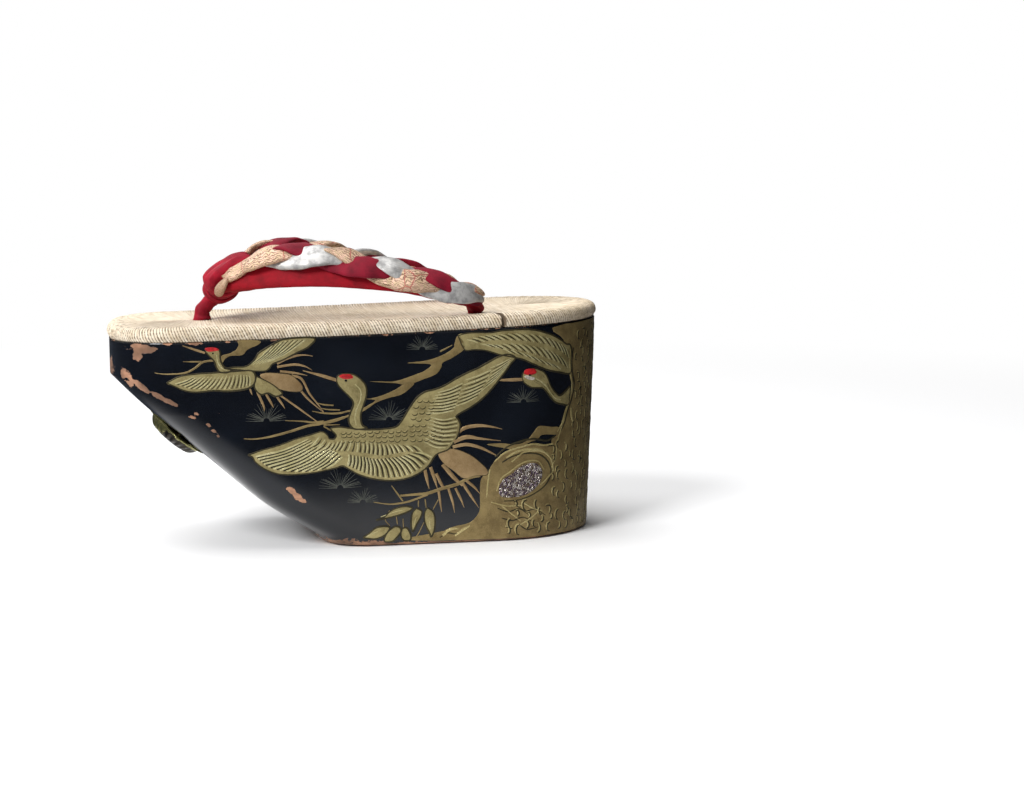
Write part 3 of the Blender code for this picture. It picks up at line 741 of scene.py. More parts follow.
    def near_side(self, s: Array, h: Array) -> Array:
        """The points of the near side at s and h, and past the heel's tip of the far side."""
        past_tip = s > self.tip
        s = np.where(past_tip, 2 * self.tip - s, s)
        inset = self.overhang + self.lean(np.minimum(s, self.side_end), h)
        setback, toe_end, power = self.cut_back(np.minimum(h, self.band_bottom))
        toe = self.overhang - self.length / 2 + setback
        centre = self.length / 2 - inset - self.heel_end
        back = np.clip((toe + toe_end - s) / toe_end, 0.0, 0.9999)
        past = np.clip((s - centre) / self.heel_end, 0.0, 1.0)
        flat = (self.half_width(s) - inset) * (1 - back ** power) ** (1 / power)
        flat = flat * np.sqrt(1 - past ** 2)
        start = np.arcsin((self.corner - centre) / self.heel_end)
        angle = start + np.interp(s - self.corner, self.arc_lengths, self.arc_angles)
        x = centre + self.heel_end * np.sin(angle)
        round_heel = s > self.corner
        y = np.where(round_heel, (self.half_width(x) - inset) * np.cos(angle), flat)
        return np.column_stack([np.where(round_heel, x, s), np.where(past_tip, y, -y), h])

    def lay(self, flat: Array, side: Side) -> Array:
        """Lays drawn points on a side of the wood.

        Args:
            flat: rows of s, h and height over the wood.
            side: the side that they go on.

        Returns:
            The points on the shoe.
        """
        s, h, lift = flat.T
        small = 0.05
        place = self.near_side(s, h)
        along = self.near_side(s + small, h) - self.near_side(s - small, h)
        up = self.near_side(s, h + small) - self.near_side(s, h - small)
        laid = place + unit(np.cross(along, up)) * lift[:, None]
        laid[:, 1] *= -side.value
        return laid


@dataclass
class Block:
    """The lacquered block: hollow beneath, drilled for the thong, chipped at the toe."""

    form: BlockForm
    columns: int = 400
    edge: float = 1.6
    band_rows: int = 22
    side_rows: int = 84
    side_wall: float = 11.0
    end_wall: float = 16.0
    roof: float = 26.0
    hollow_round: float = 24.0
    hollow_power: float = 2.4
    toe_hole: Vector = Vector((-70.0, 0.0, 99.0))
    rear_hole: Vector = Vector((51.0, 31.0, 99.0))
    toe_radius: float = 4.4
    rear_radius: float = 4.2
    recess_radius: float = 8.5
    recess_depth: float = 8.5
    exit_x: float = -82.0

    def slope_frame(self) -> tuple[Vector, Vector, Vector]:
        """Where the toe hole leaves the undercut, the way up the slope, and the way out of it."""
        tip = self.form.overhang - self.form.length / 2
        (low_height, low_back), (high_height, high_back) = self.form.slope[3:5]
        low = Vector((tip + low_back, 0.0, low_height))
        high = Vector((tip + high_back, 0.0, high_height))
        up = (high - low).normalized()
        out = -Vector((up.z, 0.0, -up.x))
        return low.lerp(high, (self.exit_x - low.x) / (high.x - low.x)), up, out

    def levels(self) -> tuple[Array, Array]:
        """The height and the extra inset of each row of the skin."""
        turn = np.radians([0.0, 22.5, 45.0, 67.5, 90.0])
        rise = self.edge * (1 - np.cos(turn))
        inset = self.edge * (1 - np.sin(turn))
        side = np.linspace(self.edge, self.form.band_bottom, self.side_rows + 1)[1:]
        band = np.linspace(self.form.band_bottom, self.form.toe_height - 0.5,
                           self.band_rows + 1)[1:]
        lip = self.form.toe_height + np.array([-0.15, 0.0])
        heights = np.concatenate([[0.0], rise, side, band, lip, [self.form.toe_height]])
        extra = np.concatenate([[self.edge], inset, 0 * side, 0 * band, [0.15, 0.5], [0.5]])
        return heights, extra

    def skin(self) -> bpy.types.Object:
        """The outside of the block."""
        heights, extra = self.levels()
        rows = len(heights) - 1

        def place(around: Array, along: Array) -> Array:
            """Points of the block, where each row is one height of its wall."""
            level = np.round(along * rows).astype(int)
            points = self.form.ring(around, heights[level], extra[level])
            points[(level == 0) | (level == rows), 1] = 0.0
            return points

        return shaped_grid("lacquered_block", self.columns, rows, place)

    def hollow(self) -> bpy.types.Object:
        """The cutter for the pocket in the underside."""
        form = self.form
        tip = form.overhang - form.length / 2
        toe = tip + form.cut_setbacks[0] + self.end_wall
        heel = form.length / 2 - form.overhang - form.draft * form.toe_height - self.end_wall
        roof = float(form.top(0.0)) - self.roof
        heights = np.array([-5.0, -5.0, roof - 2.0, roof - 0.6, roof, roof])
        extra = np.array([0.0, 0.0, 0.0, 0.6, 2.0, 2.0])
        last = len(heights) - 1

        def place(around: Array, along: Array) -> Array:
            """Points of the pocket, from under the floor up to its roof."""
            level = np.round(along * last).astype(int)
            step, sign = form.walk(around)
            inset = form.overhang + self.side_wall + extra[level]
            x, y = form.outline(step, toe + extra[level], heel - extra[level], inset,
                                self.hollow_round, self.hollow_round, self.hollow_power)
            y = np.where((level == 0) | (level == last), 0.0, y)
            return np.column_stack([x, y * sign, heights[level]])

        return shaped_grid("hollow", 120, last, place)

    def rear_drill(self, side: Side, low: float, high: float) -> bpy.types.Object:
        """A cutter for a rear thong hole, between two heights."""
        x, y = self.rear_hole.x, side.value * self.rear_hole.y
        return drill(Vector((x, y, low)), Vector((x, y, high)), self.rear_radius)

    def toe_drill(self, below: float, above: float) -> bpy.types.Object:
        """A cutter for the toe hole, so far below its mouth and above it."""
        way = (self.slope_frame()[0] - self.toe_hole).normalized()
        return drill(self.toe_hole + way * below, self.toe_hole - way * above, self.toe_radius)

    def chips(self) -> tuple[tuple[float, float, float, float, float], ...]:
        """Worn patches of the near side: s, h, half length, half height and tilt in degrees."""
        return ((-97.5, 90.8, 5.2, 2.0, -6), (-100.0, 87.4, 2.2, 1.8, 0),
                (-104.6, 78.6, 3.6, 1.7, -38), (-98.8, 74.2, 4.4, 1.5, -35),
                (-103.0, 75.0, 2.0, 1.2, -40), (-91.0, 69.8, 4.0, 1.2, -30),
                (-87.0, 67.6, 3.4, 1.2, -30), (-83.5, 66.0, 1.0, 0.7, 0),
                (-75.5, 62.4, 1.3, 0.8, -20), (-77.0, 60.8, 1.6, 0.6, -20),
                (-70.0, 57.0, 1.4, 0.7, -30), (-68.0, 54.4, 1.2, 0.6, -30),
                (-66.0, 52.0, 0.9, 0.5, -30), (-54.0, 52.0, 0.7, 0.4, 0),
                (-87.0, 93.2, 2.4, 0.9, 0), (-32.5, 24.4, 5.2, 1.1, -40),
                (-34.5, 26.8, 2.0, 1.2, -40), (-75.0, 93.2, 4.0, 0.7, 0))

    def wear(self, points: Array) -> Array:
        """How worn the block is at each point: bare where it is over a half."""
        x, y, z = points.T
        worn = np.zeros(len(points))
        for s, h, long, high, tilt in self.chips():
            c, n = math.cos(math.radians(tilt)), math.sin(math.radians(tilt))
            dx, dz = x - s, z - h
            reach = np.hypot((dx * c + dz * n) / long, (dz * c - dx * n) / high)
            worn = np.maximum(worn, np.where(y < 0, 1.25 - 0.75 * reach, 0.0))
        tip = x + self.form.length / 2
        face = ease((22.0 - tip) / 10.0)
        top_patch = np.hypot((y - 24.0) / 24.0, (z - 86.0) / 8.0)
        far_patch = np.hypot((y + 12.0) / 9.0, (z - 81.0) / 3.5)
        worn = np.maximum(worn, face * (1.15 - 0.62 * np.minimum(top_patch, far_patch)))
        corner = np.abs(z - self.form.band_bottom) + np.maximum(tip, 0.0) * 0.16
        worn = np.maximum(worn, ease((40.0 - tip) / 22.0) * (0.46 - corner / 9.0 + 0.30 * (y > 0)))
        foot = np.where((z < 5.0) & (x < 44.0),
                        0.98 - z / 5.0 - np.maximum(0.0, x + 6.0) / 90.0, 0.0)
        worn = np.maximum(worn, foot)
        worn = np.maximum(worn, np.where(z < 0.6, 0.9, 0.0))
        worn = np.maximum(worn, np.where(z > self.form.top(x) - 0.6, 0.36, 0.0))
        round_heel = np.maximum(x - self.form.corner, 0.0) / self.form.heel_end
        share = np.hypot(round_heel, y / self.form.half_width(x))
        inside = (share < 0.82) & (z > 0.05) & (z < self.form.top(x) - self.roof + 0.5) & (x > -3.0)
        return np.clip(np.maximum(worn, np.where(inside, 1.4, 0.0)), 0.0, 1.4)

    def build(self) -> bpy.types.Object:
        """Cuts the hollow and the holes, and marks the wear."""
        block = self.skin()
        cut(block, self.hollow())
        in_hollow = self.form.top(0.0) - self.roof - 4.0
        over_wood = self.form.heel_height + 5.0
        for side in Side:
            cut(block, self.rear_drill(side, in_hollow, over_wood))
        leave, _, out = self.slope_frame()
        cut(block, self.toe_drill(60.0, 4.0))
        cut(block, drill(leave - out * self.recess_depth, leave + out * 6.0, self.recess_radius))
        mark(block, "wear", self.wear(read_points(block) / MM))
        only(block)
        bpy.ops.object.shade_smooth_by_angle(angle=math.radians(38.0))
        return settle(block, Lacquer().make(), ("wooden_block",))


@dataclass
class Mat:
    """The rush mat: strands across the field that roll over the rim."""

    form: BlockForm
    finish: Rush
    thickness: float = 6.4
    field: float = 5.7
    gap: float = 0.3
    rim_ridge: float = 0.30
    field_ridge: float = 0.17
    slant: float = 4.2
    rim: tuple[tuple[float, float], ...] = (
        (0.8, 0.0), (0.0, 0.30), (0.25, 0.60), (1.3, 0.85), (3.4, 0.985), (6.0, 1.0),
        (10.0, 0.955))
    inner: tuple[float, ...] = (0.10, 0.22, 0.36, 0.52, 0.68, 0.84, 1.0)
    spine: float = 70.0
    round_end: float = 62.0
    slit_turn: float = 60.0
    slit_size: tuple[float, float, float] = (20.0, 1.5, 24.0)
    slit_height: float = 99.0

    def profile(self) -> tuple[Array, Array, Array, Array]:
        """Inset, height, way out and ridge of each row from under the rim to the field."""
        run = smooth_run(np.array(self.rim), 3)
        inset = run[:, 0]
        height = self.gap + np.maximum(run[:, 1], 0.0) * (self.thickness - self.gap)
        across = np.gradient(-inset)
        rise = np.gradient(height)
        size = np.maximum(np.hypot(across, rise), 1e-6)
        ridge = self.rim_ridge * ease(np.arange(len(run)) / 3.0)
        return inset, height, np.column_stack([rise, -across]) / size[:, None], ridge

    def build(self) -> bpy.types.Object:
        """Shapes the strands, then cuts the holes and the slits."""
        inset, height, way, ridge = self.profile()
        rim_rows = len(inset)
        rows = 1 + rim_rows + len(self.inner) - 1
        inner = np.array((0.0, *self.inner))
        form = self.form
        rng = np.random.default_rng(11)
        thick = rng.uniform(0.62, 1.12, self.finish.strands + 1)

        def place(around: Array, along: Array) -> Array:
            """Points of the mat, from under its rim to its spine."""
            level = np.round(along * rows).astype(int)
            on_rim = np.clip(level - 1, 0, rim_rows - 1)
            inward = inner[np.clip(level - rim_rows, 0, len(self.inner))]
            deep = inset[on_rim]
            shift = self.slant * (1 - on_rim / (rim_rows - 1)) ** 1.3 * (inward == 0)
            backwards = np.where(around < 0.5, -1.0, 1.0) * shift / (2 * form.half_perimeter)
            turned = around + backwards * np.clip(np.sin(around * TURN) ** 2 * 3, 0, 1)
            step, sign = form.walk(np.clip(turned, 0.0, 1.0))
            x, y = form.outline(step, deep - form.length / 2, form.length / 2 - deep, deep,
                                form.toe_end - deep, form.heel_end - deep, form.toe_power)
            strand = around * self.finish.strands
            wave = np.abs(np.sin(math.pi * strand)) ** 0.6
            wave = wave * thick[np.floor(strand + 1e-6).astype(int)]
            ridged = ridge[on_rim] + (self.field_ridge - self.rim_ridge) * np.minimum(inward * 6, 1)
            rise = (wave - 0.5) * ridged
            far = np.maximum(np.abs(x) - self.spine, 0.0)
            spine = np.sign(x) * (np.minimum(np.abs(x), self.spine) + far * 0.5)
            in_plan = x + (spine - x) * inward
            y = y * (1 - inward)
            over = height[on_rim] + (self.field - height[-1]) * np.minimum(inward * 4, 1)
            over = over + rise * way[on_rim, 1]
            slope = way[on_rim, 0] * rise * (inward == 0)
            past = np.sign(x) * np.maximum(np.abs(x) - self.round_end, 0.0)
            out = unit(np.column_stack([past, y + 1e-6]))
            middle = np.column_stack([in_plan, y]) + out * slope[:, None]
            z = form.top(middle[:, 0]) + over
            under = level == 0
            middle[under, 1] = 0.0
            z = np.where(under, form.top(middle[:, 0]) + self.gap, z)
            return np.column_stack([middle[:, 0], middle[:, 1] * sign, z])

        mat = shaped_grid("woven_mat", self.finish.strands * 4, rows, place)
        block = Block(form)
        cut(mat, block.toe_drill(12.0, 6.0))
        reach = self.slit_size[0] / 2 + block.rear_radius * 0.5
        for side in Side:
            cut(mat, block.rear_drill(side, 90.0, 112.0))
            turn = math.radians(self.slit_turn) * side.value
            middle = (block.rear_hole.x + math.cos(turn) * reach,
                      side.value * block.rear_hole.y + math.sin(turn) * reach, self.slit_height)
            slit = added(bpy.ops.mesh.primitive_cube_add, size=1.0, rotation=(0, 0, turn),
                         scale=[length * MM for length in self.slit_size],
                         location=[length * MM for length in middle])
            cut(mat, slit)
        self.paint_slit_shade(mat, block)
        return settle(mat, self.finish.make(), ("rush_mat",))

    def paint_slit_shade(self, mat: bpy.types.Object, block: Block) -> None:
        """Marks the slits, where the rush gets painted shade along each cut."""
        x, y, _ = (read_points(mat) / MM).T
        turn = math.radians(self.slit_turn)
        dx, dy = x - block.rear_hole.x, np.abs(y) - block.rear_hole.y
        off = np.abs(dx * math.sin(turn) - dy * math.cos(turn))
        near = (off < 0.95) & (dx * math.cos(turn) + dy * math.sin(turn) > 0.0)
        mark(mat, "slit", near)


# The thong.


@dataclass(frozen=True)
class Run:
    """Frames along the thong, one row each, with distance counted from the toe."""

    place: Array
    face: Array
    side: Array
    width: Array
    thick: Array
    distance: Array

    def at(self, distance: Array) -> tuple[Array, Array, Array, Array, Array]:
        """Place, face, side, width and thickness at a distance."""
        def pick(rows: Array) -> Array:
            """The values of one row of the run, or of its three columns."""
            if rows.ndim == 1:
                return np.interp(distance, self.distance, rows)
            columns = [np.interp(distance, self.distance, column) for column in rows.T]
            return np.column_stack(columns)

        return (pick(self.place), unit(pick(self.face)), unit(pick(self.side)), pick(self.width),
                pick(self.thick))


@dataclass
class Thong:
    """The padded thong: lining, toe wrap, three braided strands to a branch, and the toe tie."""

    form: BlockForm
    spread: float = 38.0
    rise: float = 24.7
    width: float = 19.5
    lining: float = 6.4
    pitch: float = 64.0
    sway: float = 29.0
    middle: float = 141.0
    descent: float = 48.0
    tuck: float = 3.0
    base: float = 1.6
    relief: float = 1.45
    strand_width: float = 11.6
    strand_thick: float = 4.0
    first_turn: float = 27.5
    first_start: float = 13.5
    later_start: float = 32.0
    first_dive: float = 42.0
    braid_end: float = 133.0
    wrap_reach: float = 20.0
    tie_width: float = 8.0
    branch: tuple[tuple[float, ...], ...] = (
        (0.074, 0.000, 0.590, 0.68, 1.70, 24.0), (0.096, 0.260, 0.690, 0.74, 1.62, 30.0),
        (0.160, 0.480, 0.825, 0.86, 1.35, 46.0), (0.270, 0.710, 0.955, 1.00, 1.08, 56.0),
        (0.420, 0.885, 0.950, 0.96, 0.95, 56.0), (0.575, 0.975, 0.835, 0.82, 0.92, 54.0),
        (0.735, 1.020, 0.690, 0.72, 0.90, 54.0), (0.870, 1.010, 0.480, 0.64, 0.92, 52.0),
        (0.965, 0.930, 0.300, 0.50, 1.00, 48.0))

    def rows(self) -> Array:
        """The near branch: x, y, z, width, thickness and tilt, down to the knot under the roof."""
        toe, rear = Block.toe_hole, Block.rear_hole
        made = []
        for along, out, up, width, thick, tilt in self.branch:
            x = toe.x + along * (rear.x - toe.x)
            made.append((x, -out * self.spread,
                         float(self.form.top(x)) + Mat.field + up * self.rise,
                         width * self.width, thick * self.lining, math.radians(tilt)))
        roof = float(self.form.top(0.0)) - Block.roof
        mat = float(self.form.top(rear.x)) + Mat.field
        neck = 7.8
        knot = ((0, mat + 1.8, 7.96), (0, mat - 1.5, neck), (0, roof + 12, neck),
                (0, roof - 1, neck), (0.4, roof - 3.4, 9.2), (2.7, roof - 6.5, 11.4),
                (3.4, roof - 9.5, 13.2), (3.4, roof - 13, 10.6), (3.4, roof - 15.5, 4.6))
        made += [(rear.x, inward - rear.y, z, size, size, math.radians(30.0))
                 for inward, z, size in knot]
        return np.array(made)

    def run(self) -> Run:
        """Frames from the far knot over the toe to the near knot."""
        near = self.rows()
        far = near[:0:-1] * np.array([1, -1, 1, 1, 1, 1])
        rows = smooth_run(np.vstack([far, near]), 10)
        place = rows[:, :3]
        tangent = unit(np.gradient(place, axis=0))
        faces, face = [], np.array([0.0, 1.0, 0.0])
        for way, tilt in zip(tangent, rows[:, 5]):
            upward = np.array([0.0, 0.0, 1.0]) - way * way[2]
            if np.linalg.norm(upward) > 0.35:
                upward = unit(upward)
                face = upward * math.cos(tilt) + np.cross(way, upward) * math.sin(tilt)
            face = unit(face - way * np.dot(face, way))
            faces.append(face)
        distance = walked(place)
        return Run(place, np.array(faces), np.cross(tangent, np.array(faces)), rows[:, 3],
                   rows[:, 4], distance - distance[len(distance) // 2])

    def drawn_in(self, distance: Array) -> Array:
        """How far the braid draws the lining's edge in, in millimetres."""
        return self.tuck * ease((distance - 10.0) / 10.0) * ease((132.0 - distance) / 12.0)

    def tube(self, name: str, around: int, along: int, start: float, end: float,
             grow: Callable[[Array, Array], Array], slide: Callable[[Array], Array] | None = None
             ) -> bpy.types.Object:
        """A closed skin round the thong.

        Args:
            name: the piece's name.
            around: faces around.
            along: faces along.
            start: distance where it starts.
            end: distance where it ends.
            grow: how far it stands off the lining, for an angle and a share along.
            slide: how the ends lean, as a factor on the distance for an angle.

        Returns:
            The piece.
        """
        run = self.run()

        def place(turn: Array, share: Array) -> Array:
            """Points round the run, at a share of the way from start to end."""
            angle = turn * TURN
            distance = start + (end - start) * share
            if slide is not None:
                distance = distance * slide(angle)
            spot, face, side, width, thick = run.at(distance)
            off = grow(angle, share)
            pole = (share == 0.0) | (share == 1.0)
            across = np.where(pole, 0.0, (width / 2 + off) * np.cos(angle))
            through = np.where(pole, 0.0, (thick / 2 + off) * np.sin(angle))
            return around_spot(spot, side, across, face, through)

        return shaped_grid(name, around, along, place)

    def make_lining(self) -> bpy.types.Object:
        """The velvet lining from knot to knot, with a sewn ridge along each edge."""
        run = self.run()
        reach = float(run.distance[-1])

        def grow(angle: Array, share: Array) -> Array:
            """How far the lining stands out, in millimetres."""
            distance = np.abs(share * 2 - 1) * reach
            under_wrap = ease((20.0 - distance) / 10.0)
            slim = -0.15 - under_wrap - self.drawn_in(distance) * np.clip(-np.cos(angle), 0, 1)
            seam = 0.22 * np.exp(-(np.sin(angle + 0.5) / 0.10) ** 2)
            folds = 0.16 * np.sin(distance * 0.9 + 2 * np.sin(angle * 2))
            folds = folds * np.clip(-np.sin(angle), 0, 1)
            return slim + seam + folds

        return self.tube("velvet_lining", 36, 300, -reach, reach, grow)

    def make_wrap(self) -> bpy.types.Object:
        """The velvet wrap over the front, which covers the ends of the braids."""

        def grow(angle: Array, share: Array) -> Array:
            """How far the wrap stands out, in millimetres."""
            distance = np.abs(share * 2 - 1) * self.wrap_reach
            lip = np.sqrt(np.clip((self.wrap_reach - distance) / 2.2, 0, 1))
            outer = np.clip(np.sin(angle - 0.35) * 1.3 + 0.35, 0, 1)
            full = 0.5 + 3.4 * ease((distance - 2.0) / 10.0) * outer
            pleats = 0.12 * np.sin(angle * 7 + 1.2 * np.sin(distance * 0.7))
            pleats = pleats * ease((distance - 5) / 6)
            return -1.6 + lip * (full + 1.6 + pleats)

        return self.tube("velvet_toe_wrap", 72, 90, -self.wrap_reach, self.wrap_reach, grow,
                         lambda angle: 0.86 - 0.36 * np.cos(angle))

    def make_strand(self, name: str, order: int, side: Side) -> bpy.types.Object:
        """One strand of a braid.

        Args:
            name: the piece's name.
            order: 0 for the strand that comes out of the wrap, then 1 and 2.
            side: the branch.

        Returns:
            The strand.
        """
        run = self.run()
        leads = order == 0
        first_edge = self.first_turn + order * self.pitch / 3
        start = self.first_start if leads else self.later_start

        def centre(distance: Array) -> tuple[Array, Array, Array]:
            """The strand's middle, its face's normal and its scale at a distance."""
            turn = TURN * (distance - first_edge) / self.pitch
            spot, face, across, width, thick = run.at(distance)
            scale = width / self.width
            tuck = self.drawn_in(distance)
            lower = self.first_dive * ease((first_edge - distance) / 14.0) * leads
            middle = self.middle - self.descent * ease((distance - 56.0) / 50.0)
            sway = self.sway * np.cos(np.maximum(turn, 0.0 if leads else -math.pi))
            angle = np.radians(middle - sway - lower)
            share, through = np.cos(angle), np.sin(angle)
            half = width / 2 - tuck / 2
            normal = unit(around_spot(0.0, across, share * thick, face, through * half * 2))
            lift = (self.base + self.relief * np.sin(2 * turn)) * (0.45 + 0.55 * scale)
            on_thong = around_spot(spot, across, half * share + tuck / 2, face, thick / 2 * through)
            return on_thong + normal * lift[:, None], normal, scale

        def place(around: Array, along: Array) -> Array:
            """Points round the strand."""
            distance = start + (self.braid_end - start) * along
            spot, normal, scale = centre(distance)
            tangent = unit(centre(distance + 0.4)[0] - centre(distance - 0.4)[0])
            wide = unit(np.cross(normal, tangent))
            thin = np.cross(tangent, wide)
            angle = around * TURN
            close = ease(np.minimum(along, 1 - along) * (self.braid_end - start) / 5.0)
            size = close * (0.55 + 0.45 * scale)
            turn = TURN * (distance - first_edge) / self.pitch
            fold = 1.0 + 0.10 * np.sin(2 * turn) + 0.03 * np.sin(distance * 0.8 + first_edge)
            c, s = np.cos(angle), np.sin(angle)
            across = np.sign(c) * np.abs(c) ** 0.85 * self.strand_width / 2 * size * fold
            crease = 1 + 0.07 * np.sin(3 * c + distance * 0.45 + first_edge) * (s > 0)
            deep = s * self.strand_thick / 2 * size * crease
            points = around_spot(spot, wide, across, thin, deep)
            points[:, 1] *= -side.value
            return points

        return shaped_grid(name, 28, 190, place)

    def make_tongue(self, name: str, side: Side) -> bpy.types.Object:
        """The small folded end of a strand, tucked beside the toe wrap."""
        run = self.run()

        def centre(share: Array) -> tuple[Array, Array]:
            """The folded end's middle and its face's normal."""
            angle = np.radians(-24.0 + 84.0 * share)
            spot, face, across, width, thick = run.at(9.0 + 10.0 * share)
            off = 0.7 + 1.5 * share
            normal = unit(around_spot(0.0, across, np.cos(angle) * thick, face,
                                      np.sin(angle) * width))
            return around_spot(spot, across, (width / 2 + off) * np.cos(angle), face,
                               (thick / 2 + off) * np.sin(angle)), normal

        def place(around: Array, along: Array) -> Array:
            """Points round the folded end."""
            spot, normal = centre(along)
            tangent = unit(centre(along + 0.02)[0] - centre(along - 0.02)[0])
            wide = unit(np.cross(normal, tangent))
            size = np.sqrt(np.clip(np.sin(along * math.pi), 0, 1))
            angle = around * TURN
            points = around_spot(spot, wide, 2.5 * size * np.cos(angle), normal,
                                 1.5 * size * np.sin(angle))
            points[:, 1] *= -side.value
            return points

        return shaped_grid(name, 24, 40, place)

    def make_loop(self) -> bpy.types.Object:
        """The tie's ribbed loop over the wrap."""
        run = self.run()

        def place(around: Array, along: Array) -> Array:
            """Points of the loop round the thong."""
            angle = around * TURN
            turn = along * TURN
            distance = np.cos(turn) * 4.6
            spot, face, side, width, thick = run.at(distance)
            rib = 0.22 * np.cos(distance * TURN / 2.1) * (np.sin(turn) > 0)
            off = 0.9 + np.sin(turn) * 0.95 + rib + 0.12 * np.sin(angle * 5)
            across = (width / 2 + off) * np.cos(angle)
            through = (thick / 2 + off) * np.sin(angle)
            return around_spot(spot, side, across, face, through)

        return shaped_grid("velvet_tie_loop", 72, 48, place)

    def make_stem(self, block: Block) -> bpy.types.Object:
        """The tie's stem, from under the loop down the toe hole to the knot under the cap."""
        hole = block.toe_hole.x
        top = np.array((hole, 0.0, float(self.form.top(hole)) + Mat.field))
        leave, _, out = (np.array(v) for v in block.slope_frame())
        way = unit(leave - top)
        under = np.array((-64.6, 0.0, top[2] + 9.6))
        forward = np.array((-1.0, 0.0, 0.0))
        half = self.tie_width / 2
        neck = block.toe_radius - 0.3
        depth = float(np.linalg.norm(leave - top))
        mouth = block.recess_depth / float(np.dot(way, out))
        rings = [(under + np.array((3.0, 0, 3.0)), 2.0, 2.0)]
        for down, bulge, across, deep in (
                (0.0, 0.4, 0.80, 0.80), (0.20, 1.5, 0.76, 0.80), (0.42, 2.3, 0.82, 0.82),
                (0.62, 2.2, 0.92, 0.86), (0.80, 1.3, 1.00, 0.90), (0.97, 0.2, 1.0, 0.94)):
            rings.append((under + (top - under) * down + forward * bulge,
                          across * half, deep * half))
        rings += [(top + way * 2.0, neck, neck), (top + way * depth * 0.5, neck, neck),
                  (leave - way * (mouth - 2.0), neck, neck),
                  (leave - way * (mouth - 4.4), 4.7, 4.7)]
        rings += [(leave + out * lift, 6.4 * size, 6.4 * size)
                  for lift, size in ((-3.0, 1.0), (-0.4, 0.95), (1.8, 0.72), (3.0, 0.2))]
        rows = smooth_run(np.array([(*spot, a, b) for spot, a, b in rings]), 8)
        ways = unit(np.gradient(rows[:, :3], axis=0))
        last = len(rows) - 1

        def place(around: Array, along: Array) -> Array:
            """Points of the stem, and of the knot at its end."""
            level = np.round(along * last).astype(int)
            angle = around * TURN
            across = np.array((0.0, 1.0, 0.0))
            deep = unit(np.cross(across, ways[level]))
            above = ease((rows[level, 2] - top[2] + 1.0) / 2.0)
            waves = np.sin(level * 0.45 + 1.5 * np.sin(angle)), np.sin(angle * 3 + 0.6)
            wrinkle = 1 + above * (0.05 * waves[0] + 0.05 * waves[1])
            size = np.where((level == 0) | (level == last), 0.0, wrinkle)
            return around_spot(rows[level, :3], across, rows[level, 3] * size * np.cos(angle), deep,
                               rows[level, 4] * size * np.sin(angle))

        return shaped_grid("velvet_tie_stem", 36, last, place)

    def build(self, block: Block) -> None:
        """Makes and dresses every part of the thong."""
        velvet = Velvet().make()
        lining = Velvet("lining_velvet", (0.17, 0.0008, 0.006), (0.32, 0.001, 0.010), 0.07).make()
        front = Velvet("toe_velvet", (0.18, 0.0015, 0.011), (0.37, 0.0045, 0.022), 0.07).make()
        settle(self.make_lining(), lining, ("thong_lining",))
        settle(self.make_wrap(), front)
        brocade = Brocade().make()
        cloths = (("brocade", brocade), ("silver", SilverCloth().make()), ("velvet", velvet))
        for side in Side:
            end = "left" if side is Side.NEAR else "right"
            for order, (cloth, finish) in enumerate(cloths):
                strand = self.make_strand(f"braid_{end}_{cloth}", order, side)
                settle(strand, finish, (f"braid_{end}",))
            settle(self.make_tongue(f"braid_{end}_tongue", side), brocade)
        settle(self.make_loop(), front, ("toe_tie",))
        settle(self.make_stem(block), front, ("toe_tie",))


